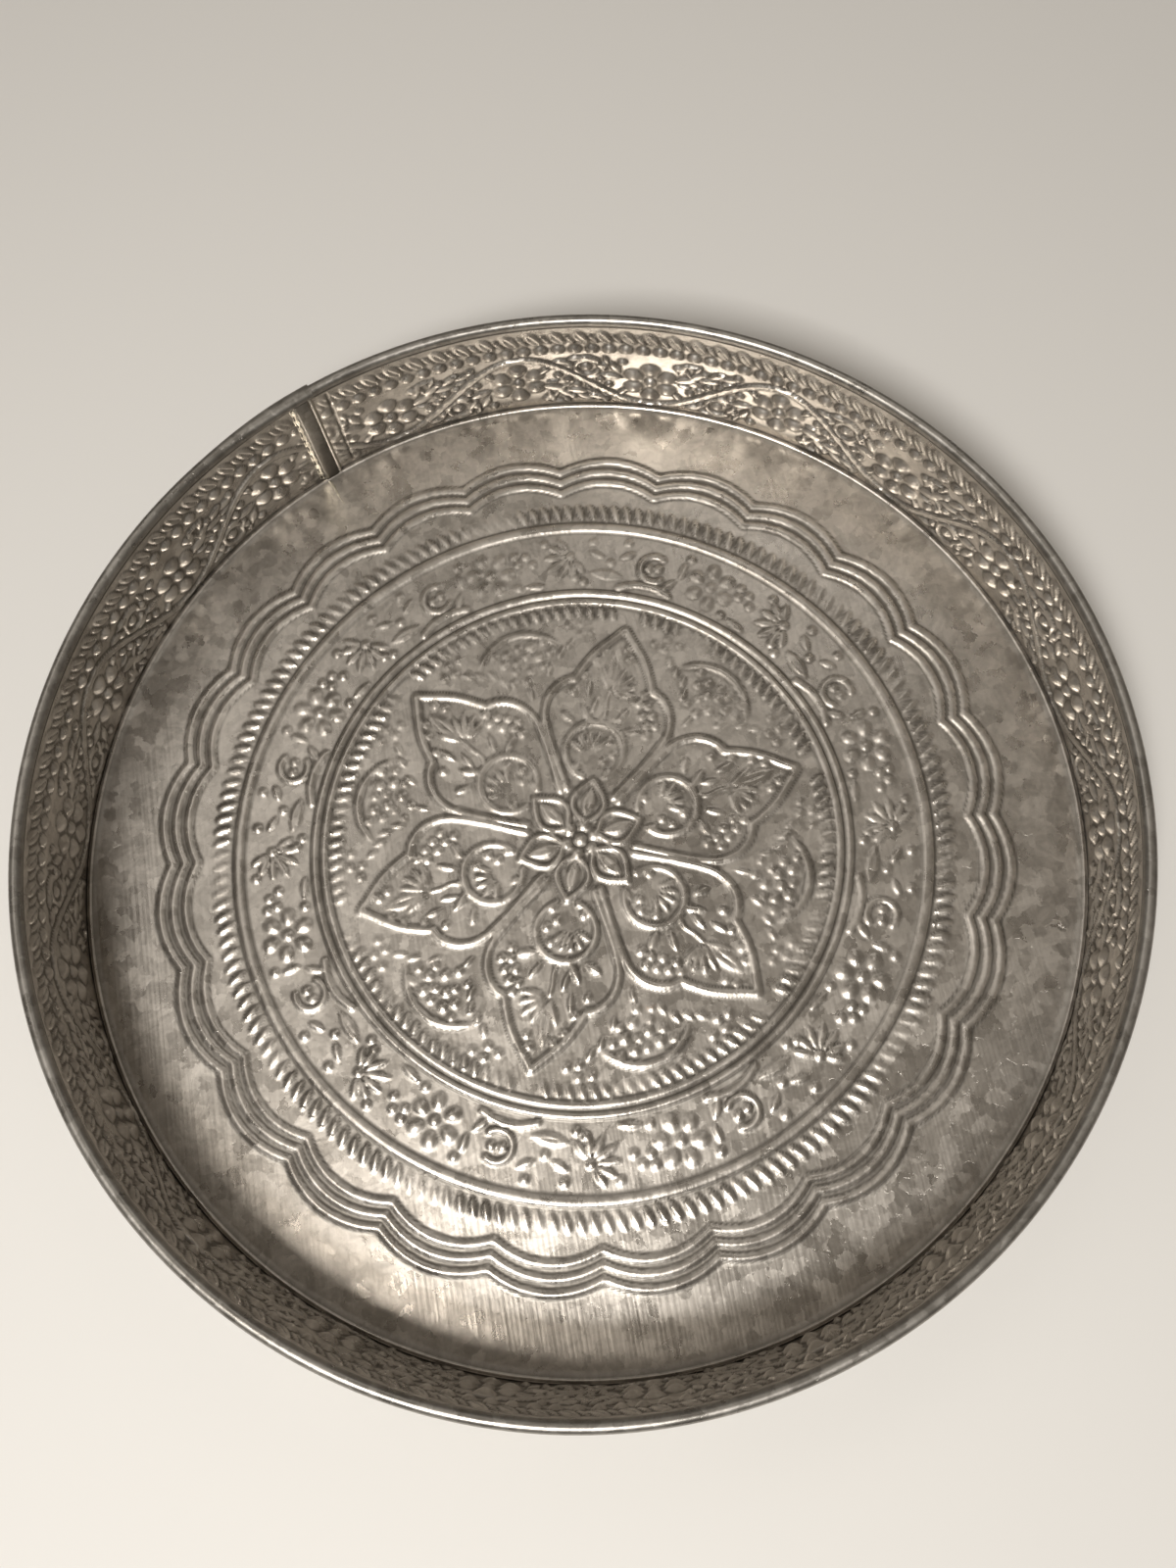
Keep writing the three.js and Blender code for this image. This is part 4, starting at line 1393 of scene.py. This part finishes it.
@dataclass
class EmbossedWall:
    """The wall strip, with its folded foot and its rim rolled round a wire."""

    pattern: WallPattern = field(default_factory=WallPattern)
    split: float = 50.2
    middle: float = 29.0
    vine_grid: tuple[int, int] = (1800, 26)
    border_grid: tuple[int, int] = (1920, 24)
    hem_columns: int = 360
    rim_grid: tuple[int, int] = (900, 26)
    crease: float = 222.0
    sweep: float = 325.0
    neck_rows: int = 3
    tuck: float = 0.6
    core: float = 1.5

    def strip(self, name: str, grid: tuple[int, int], bottom: float, top: float) -> Piece:
        """A stretch of the pressed wall.

        Args:
            name: name of the piece.
            grid: number of columns and rows.
            bottom: height of its lower edge.
            top: height of its upper edge.

        Returns:
            The piece.
        """
        piece = Bench.grid(name, *grid)
        height = bottom + Bench.shares(piece)[1] * (top - bottom)
        Bench.close_round(piece, np.full_like(height, SIZES.wall_inner), height)
        flat = Bench.points(piece)
        angle = np.arctan2(flat[:, 1], flat[:, 0])
        relief = self.pattern.heights(np.degrees(angle), flat[:, 2] / MM)
        radius = (SIZES.wall_inner - relief) * MM
        flat[:, 0], flat[:, 1] = radius * np.cos(angle), radius * np.sin(angle)
        Bench.place(piece, flat)
        return Bench.finish_sheet(piece, relief)

    def hem(self) -> Piece:
        """The foot of the wall, folded under and up inside the skirt.

        Returns:
            The piece.
        """
        reach = (SIZES.wall_inner - SIZES.hem_outer) / 2
        middle = (SIZES.wall_inner + SIZES.hem_outer) / 2
        foot = SIZES.sheet + reach
        outline = [(SIZES.hem_outer, SIZES.hem_height),
                   *round_bend(middle, foot, reach, np.linspace(180, 360, 9)),
                   (SIZES.wall_inner, SIZES.seam_foot)]
        piece = Bench.grid("wall_hem", self.hem_columns, len(outline) - 1)
        Bench.close_round(piece, *follow(outline, Bench.shares(piece)[1]))
        return Bench.solid(piece, SIZES.sheet)

    def sheath(self) -> Piece:
        """The rolled rim, which flares at its end and laps over its other end.

        Returns:
            The piece.
        """
        columns, rows = self.rim_grid
        end = SIZES.seam_degrees(-SIZES.lap_reach)
        piece = Bench.grid("rim_sheath", columns, rows)
        round_, up = Bench.shares(piece)
        angle = end + (360.0 + self.tuck) * (1 - round_)
        along = (angle - SIZES.seam_degrees(SIZES.seam_width)) * math.radians(1) * SIZES.wall_inner
        flare = ease(np.clip(1 - along / SIZES.flare_length, 0, 1))
        row = up * rows
        share = np.clip((row - self.neck_rows) / (rows - self.neck_rows), 0, 1)
        turn = np.radians(self.crease - self.sweep * share)
        centre = SIZES.rim_radius - SIZES.curl + 0.2 * flare
        middle = SIZES.rim_top - SIZES.curl
        radius = centre + (SIZES.curl + flare) * np.cos(turn)
        height = middle + (SIZES.curl + 0.04 * flare) * np.sin(turn)
        start = math.radians(self.crease)
        low = row < self.neck_rows
        rise = np.clip(row / self.neck_rows, 0, 1)
        top = centre + (SIZES.curl + flare) * math.cos(start)
        radius = np.where(low, SIZES.wall_inner + (top - SIZES.wall_inner) * ease(rise), radius)
        foot = middle + SIZES.curl * math.sin(start)
        height = np.where(low, SIZES.neck + (foot - SIZES.neck) * rise, height)
        Bench.place_round(piece, radius, np.radians(angle), height)
        # A thin dark line where the roll leaves the wall, passed as the hollow: painted shade under the
        # overhanging rim.
        tarnish_and_shade = 0.5 * np.exp(-((row - self.neck_rows + 0.5) / 1.2) ** 2)
        return Bench.finish_sheet(piece, np.zeros(len(row)), tarnish_and_shade)

    def wire(self) -> Piece:
        """The wire that the rim is rolled round.

        Returns:
            The piece.
        """
        bpy.ops.object.select_all(action="DESELECT")
        bpy.ops.mesh.primitive_torus_add(major_segments=240, minor_segments=12,
                                         major_radius=SIZES.wire_radius * MM, minor_radius=self.core * MM)
        piece = bpy.context.active_object
        piece.name = piece.data.name = "rim_core_wire"
        flat = Bench.points(piece)
        flat[:, 2] += SIZES.wire_height * MM
        Bench.place(piece, flat)
        Bench.smooth(piece)
        return piece

    def build(self) -> None:
        """Builds and dresses the wall's pieces."""
        # A lighter copy of the floor's zinc, with less darkening in the hollows: painted light on the wall.
        pressed = ZincFinish("zinc_of_the_wall", crystal_scale=70.0, light=Tint(0.73, 0.684, 0.622),
                             dark=Tint(0.44, 0.406, 0.366), tarnish_and_shade=0.66).material()
        plain = ZincFinish("zinc_of_the_hem", pressed=False, roughness=0.3).material()
        # A darker copy of the zinc for the rolled rim: painted shade.
        rolled = ZincFinish("zinc_of_the_rim", light=Tint(0.44, 0.415, 0.38), dark=Tint(0.25, 0.233, 0.21),
                            roughness=0.22).material()
        drawn = WireFinish("wire_in_the_rim").material()
        for name, grid, bottom, top in (("wall_vine_below", self.vine_grid, SIZES.seam_foot, self.middle),
                                        ("wall_vine_above", self.vine_grid, self.middle, self.split),
                                        ("wall_border", self.border_grid, self.split, SIZES.neck)):
            finish_piece(self.strip(name, grid, bottom, top), Body.TRAY, Slot.WALL, pressed, "side_wall")
        finish_piece(self.hem(), Body.TRAY, Slot.WALL, plain, "side_wall")
        finish_piece(self.sheath(), Body.TRAY, Slot.WALL, rolled, "side_wall")
        finish_piece(self.wire(), Body.TRAY, Slot.WIRE, drawn, "rim_wire")


@dataclass
class LockSeam:
    """The joint of the wall: two hooked folds, soldered along one side."""

    outer_bend: float = 1.05
    top: float = 2.25
    rows: int = 48
    flat_from: float = 67.5
    hidden_top: float = 72.2
    run_from: float = 224.0
    inner_middle: float = 4.75
    inner_top: float = 1.5
    thin: float = 0.3
    run_sheet: float = 0.2
    soft_edge: float = 60.0

    def _upright(self, name: str, path: Outline) -> Piece:
        """A strip folded along a path and set upright on the wall.

        Args:
            name: name of the piece.
            path: places along the wall and inwards.

        Returns:
            The piece.
        """
        piece = Bench.grid(name, self.rows, len(path) - 1)
        up, share = Bench.shares(piece)
        along, inwards = follow(path, share)
        height = SIZES.seam_foot + 0.1 + up * (self.hidden_top - SIZES.seam_foot - 0.1)
        inwards = inwards + 0.05 * np.sin(height * 0.5) * (inwards > 0.3)
        under = np.clip((height - self.flat_from) / (self.hidden_top - self.flat_from), 0, 1)
        inwards = inwards * (1 - 0.55 * under * under)
        angle = np.radians(SIZES.seam_angle) + (along - SIZES.seam_width / 2) / SIZES.wall_inner
        Bench.place_round(piece, SIZES.wall_inner - inwards, angle, height)
        return piece

    def upper_fold(self) -> Piece:
        """The fold that shows: it rises from the wall and turns back under itself.

        Returns:
            The piece.
        """
        reach, top = self.outer_bend, self.top
        foot = SIZES.seam_width + SIZES.seam_slope
        path = [(foot + 1.6, -0.04), (foot + 0.3, -0.02), (foot, 0.12), (SIZES.seam_width + 0.25, top - 0.15),
                (SIZES.seam_width - 0.1, top), (3.4, top),
                *round_bend(reach, top - reach, reach, range(90, 271, 18)), (4.6, top - 2 * reach)]
        return Bench.solid(self._upright("seam_upper_fold", path), SIZES.sheet)

    def lower_fold(self) -> Piece:
        """The fold inside it, which comes from the other end of the wall.

        Returns:
            The piece.
        """
        reach, middle, top = self.outer_bend, self.inner_middle, self.inner_top
        path = [(middle - 0.4, top - 2 * reach + 0.02),
                *round_bend(middle, top - reach, reach, range(-90, 91, 18)), (1.0, top)]
        return Bench.solid(self._upright("seam_lower_fold", path), SIZES.sheet)

    def hook(self) -> Piece:
        """The bent edge of the other sheet, which catches the light beside the fold."""
        path = [(-0.9, 0.3), (-0.95, 1.5), (-1.15, 1.9), (-1.5, 2.0), (-1.9, 1.6), (-2.2, 0.7), (-2.9, -0.12)]
        return Bench.solid(self._upright("seam_hook", path), self.thin, self.soft_edge)

    def solder(self) -> Piece:
        """The bead of solder in the corner beside the band.

        Returns:
            The piece.
        """
        foot = SIZES.seam_width + SIZES.seam_slope
        path = [(foot - 1.5, 2.05), (foot - 1.0, 2.1), (foot - 0.2, 1.35), (foot + 0.8, 0.75),
                (foot + 1.9, 0.2), (foot + 2.2, -0.1)]
        piece = self._upright("seam_solder_bead", path)
        flat = Bench.points(piece)
        height = flat[:, 2] / MM
        swell = 1 + 0.0009 * np.sin(height * 0.9) + 0.0005 * np.sin(height * 2.3 + 1)
        flat[:, 0] *= swell
        flat[:, 1] *= swell
        Bench.place(piece, flat)
        return Bench.solid(piece, self.thin, self.soft_edge)

    def run(self) -> Piece:
        """The thin run of solder that flowed from the seam onto the floor.

        Returns:
            The piece.
        """
        piece = Bench.grid("seam_solder_run", 40, 8)
        flat = Bench.points(piece)
        along, across = (flat[:, 0] + 1) / 2, flat[:, 1]
        inner, outer = self.run_from, SIZES.flat_radius - 2.2
        radius = inner + along * (outer - inner)
        width = 0.25 + 0.9 * along + 0.25 * np.sin(along * 17.0)
        side = across * width + 0.5 * np.sin(along * 6.0)
        thick = 0.16 * (1 - across**2) * np.clip(along * 5, 0, 1)
        angle = np.radians(SIZES.seam_degrees(SIZES.seam_width + 0.4)) + side / radius
        ground = FloorPattern().heights(radius * np.cos(angle), radius * np.sin(angle))
        Bench.place_round(piece, radius, angle, SIZES.floor_height + ground + thick - 0.05)
        return Bench.solid(piece, self.run_sheet, self.soft_edge)

    def build(self) -> None:
        """Builds and dresses the seam."""
        # A darker copy of the zinc, darker still towards its foot: painted shade on the seam's fold.
        plain = ZincFinish("zinc_of_the_seam", light=Tint(0.44, 0.41, 0.37), dark=Tint(0.23, 0.214, 0.19),
                           pressed=False, roughness=0.26, foot_shade=0.85).material()
        # A paler copy of the zinc: painted highlight on the hook's bent edge.
        hook_highlight = ZincFinish("zinc_of_the_hook_painted_highlight", light=Tint(0.85, 0.80, 0.73), dark=Tint(0.6, 0.56, 0.5),
                            pressed=False, roughness=0.3).material()
        solder = SolderFinish("solder_of_the_seam").material()
        for piece, material in ((self.upper_fold(), plain), (self.lower_fold(), plain), (self.hook(), hook_highlight)):
            finish_piece(piece, Body.TRAY, Slot.WALL, material, "side_wall")
        for piece in (self.solder(), self.run()):
            finish_piece(piece, Body.TRAY, Slot.SOLDER, solder, "seam_solder")


@dataclass
class Hanger:
    """The ring that the tray hangs by, with its strap and solder."""

    wire: float = 2.2
    bore: float = 30.0
    strap_width: float = 6.0
    strap_length: float = 10.0
    strap_drop: float = 10.0
    clearance: float = 0.25
    stand_off: float = 0.3
    ends_gap: float = 0.5
    pad: float = 2.3
    pad_sheet: float = 0.25
    edge: float = 0.12
    sharp_edge: float = 50.0
    soft_edge: float = 60.0

    @property
    def ring_radius(self) -> float:
        """Radius of the ring along the middle of its wire."""
        return (self.bore + self.wire) / 2

    @property
    def bow(self) -> float:
        """How far the ring's wire bows across the width of the strap."""
        return self.ring_radius - math.sqrt(self.ring_radius**2 - (self.strap_width / 2) ** 2)

    @property
    def eye(self) -> float:
        """Inner radius of the strap's eye."""
        return self.wire / 2 + self.clearance + self.bow / 2

    @property
    def back(self) -> float:
        """Distance of the strap's back from the middle of the tray."""
        return SIZES.wall_inner + SIZES.sheet + self.stand_off

    @property
    def hinge(self) -> tuple[float, float]:
        """Distance outwards and height of the ring's hinge."""
        return self.back + self.eye + SIZES.sheet, SIZES.wire_height - self.strap_drop

    @property
    def foot(self) -> float:
        """Height of the strap's lower end."""
        return self.hinge[1] - self.eye - SIZES.sheet - self.strap_length

    def ring(self) -> Piece:
        """The ring, bent from wire, with its ends butted at the bottom.

        Returns:
            The piece.
        """
        piece = Bench.grid("hanging_ring", 120, 16)
        gap = self.ends_gap / self.ring_radius
        turn = -math.pi / 2 + gap / 2 + Bench.shares(piece)[0] * (2 * math.pi - gap)
        round_ = -math.pi * Bench.points(piece)[:, 1]
        reach = self.ring_radius + self.wire / 2 * np.cos(round_)
        outwards, height = self.hinge
        centre = height - self.ring_radius + self.bow / 2
        x, z = reach * np.cos(turn), centre + reach * np.sin(turn)
        y = outwards + self.wire / 2 * np.sin(round_)
        Bench.place(piece, np.stack([x, y, z], axis=1) * MM)
        Bench.weld(piece)
        ends = Bench.points(piece)
        from_bottom = np.arctan2(ends[:, 2] / MM - centre, ends[:, 0] / MM) + math.pi / 2
        for end in (gap / 2, -gap / 2):
            Bench.cap(piece, np.abs(from_bottom - end) < 1e-3)
        Bench.edit(piece)
        bpy.ops.mesh.normals_make_consistent(inside=False)
        Bench.leave()
        Bench.smooth(piece)
        return piece

    def strap(self) -> Piece:
        """The strip that is folded in two round the ring's wire.

        Returns:
            The piece.
        """
        outwards, height = self.hinge
        inner, face = self.eye, self.back + SIZES.sheet
        path = [(face, self.foot)]
        path += [(face, self.foot + (height - self.foot - inner * 0.2) * step / 6) for step in range(1, 6)]
        path += round_bend(outwards, height, inner, (190 - 250 * step / 18 for step in range(19)))
        neck = height - inner - 0.9
        path += [(self.back + 1.9 * SIZES.sheet, neck), (face + 0.05, neck - 1.2),
                 (face + 0.05, (neck + self.foot) / 2), (face + 0.05, self.foot)]
        piece = Bench.grid("hanger_fold", 6, len(path) - 1)
        x = Bench.points(piece)[:, 0] * self.strap_width / 2
        y, z = follow(path, Bench.shares(piece)[1])
        Bench.place(piece, np.stack([x, y, z], axis=1) * MM)
        Bench.thicken(piece, SIZES.sheet)
        modifier = piece.modifiers.new("edges", "BEVEL")
        modifier.width = self.edge * MM
        modifier.segments = 2
        modifier.limit_method = "ANGLE"
        modifier.angle_limit = math.radians(self.sharp_edge)
        Bench.apply(piece, modifier.name)
        Bench.smooth(piece, self.sharp_edge)
        return piece

    def solder(self) -> Piece:
        """The solder round the strap's foot.

        Returns:
            The piece.
        """
        foot, near = self.foot, self.strap_width / 2 + 0.1
        path = [(near, self.hinge[1] - self.eye - 1.8), (near, foot + 2), (near - 0.2, foot - 0.2),
                (0, foot - 0.4)]
        path += [(-x, z) for x, z in reversed(path[:-1])]
        piece = Bench.grid("hanger_solder", 60, 8)
        share, out = Bench.shares(piece)
        x, z = follow(path, share)
        away = np.stack([x, z - (foot + 4)], axis=1)
        away /= np.linalg.norm(away, axis=1)[:, None]
        taper = np.clip(np.minimum(share, 1 - share) * 9, 0.15, 1)
        reach = self.pad * out * taper * (1 + 0.12 * np.sin(share * 31))
        swell = (0.95 * np.clip(1 - out, 0, 1) ** 0.7 + 0.02) * taper
        y = self.back - self.stand_off + swell
        Bench.place(piece, np.stack([x + away[:, 0] * reach, y, z + away[:, 1] * reach], axis=1) * MM)
        return Bench.solid(piece, self.pad_sheet, self.soft_edge)

    def build(self) -> None:
        """Builds and dresses the hanger."""
        steel = WireFinish("steel_of_the_hanger").material()
        solder = SolderFinish("solder_of_the_hanger").material()
        finish_piece(self.strap(), Body.TRAY, Slot.HANGER, steel, "hanger_strap")
        finish_piece(self.solder(), Body.TRAY, Slot.SOLDER, solder, "strap_solder")
        finish_piece(self.ring(), Body.RING, Slot.HANGER, steel, "hanger_ring")


@dataclass
class Studio:
    """The camera, the lamps and the pale floor."""

    camera_place: tuple[float, float, float] = (26.4, -138.8, 591.8)
    camera_turn: tuple[float, float, float] = (0.2779, 0.0377, 0.0)
    lens: float = 37.5
    floor_colour: Tint = Tint(0.72, 0.70, 0.67)
    horizon: Tint = Tint(0.072, 0.066, 0.059)
    zenith: Tint = Tint(0.256, 0.228, 0.192)

    def camera(self) -> None:
        """Sets up the camera at the photograph's viewing angle."""
        data = bpy.data.cameras.new("camera")
        data.lens = self.lens
        data.sensor_width = 36.0
        data.sensor_fit = "HORIZONTAL"
        data.clip_start = 0.01
        camera = bpy.data.objects.new("camera", data)
        camera.rotation_mode = "YXZ"
        camera.rotation_euler = self.camera_turn
        camera.location = [value * MM for value in self.camera_place]
        bpy.context.scene.collection.objects.link(camera)
        bpy.context.scene.camera = camera

    def lamp(self, name: str, place: tuple[float, float, float], size: float, power: float,
             tint: Tint) -> None:
        """A square soft lamp that faces the tray.

        Args:
            name: its name.
            place: its place in metres.
            size: its side in metres.
            power: its power in watts.
            tint: its colour.
        """
        data = bpy.data.lights.new(name, "AREA")
        data.size = size
        data.energy = power
        data.color = (tint.red, tint.green, tint.blue)
        lamp = bpy.data.objects.new(name, data)
        lamp.location = place
        lamp.rotation_euler = (-Vector(place)).to_track_quat("-Z", "Y").to_euler()
        bpy.context.scene.collection.objects.link(lamp)

    def floor(self) -> None:
        """The pale floor that the tray lies on."""
        piece = Bench.grid("studio_floor", 8, 8)
        Bench.place(piece, Bench.points(piece) * 3.0)
        recipe = Recipe("studio_floor_paint")
        recipe.feed(recipe.shader.inputs["Base Color"], self.floor_colour.rgba)
        recipe.feed(recipe.shader.inputs["Roughness"], 0.8)
        piece.data.materials.append(recipe.material)

    def air(self) -> None:
        """The soft light from all round, stronger from above."""
        world = bpy.data.worlds.new("studio_air")
        bpy.context.scene.world = world
        world.use_nodes = True
        tree = world.node_tree
        background = next(node for node in tree.nodes if node.type == "BACKGROUND")
        background.inputs["Strength"].default_value = 1.0
        place = tree.nodes.new("ShaderNodeTexCoord")
        split = tree.nodes.new("ShaderNodeSeparateXYZ")
        ramp = tree.nodes.new("ShaderNodeValToRGB")
        tree.links.new(place.outputs["Generated"], split.inputs[0])
        tree.links.new(split.outputs[2], ramp.inputs[0])
        tree.links.new(ramp.outputs[0], background.inputs["Color"])
        ramp.color_ramp.elements[0].color = self.horizon.rgba
        ramp.color_ramp.elements[1].color = self.zenith.rgba

    def build(self) -> None:
        """Builds the studio."""
        bpy.context.scene.view_settings.view_transform = "Standard"
        self.camera()
        self.floor()
        self.air()
        self.lamp("ceiling", (-0.49, -0.53, 1.8), 0.24, 3.1, Tint(1.0, 0.93, 0.84))
        self.lamp("front", (-0.32, -0.98, 1.58), 0.42, 30.0, Tint(1.0, 0.985, 0.955))
        self.lamp("side", (-0.75, 0.45, 1.75), 0.8, 1.6, Tint(1.0, 0.97, 0.93))
        self.lamp("far", (0.27, 1.02, 1.66), 0.62, 1.15, Tint(1.0, 0.97, 0.93))


def main() -> None:
    """Builds the tray and its studio in order."""
    logging.basicConfig(level=logging.INFO, format="%(message)s")
    Studio().build()
    EmbossedFloor().build()
    EmbossedWall().build()
    LockSeam().build()
    Hanger().build()


if __name__ == "__main__":
    main()
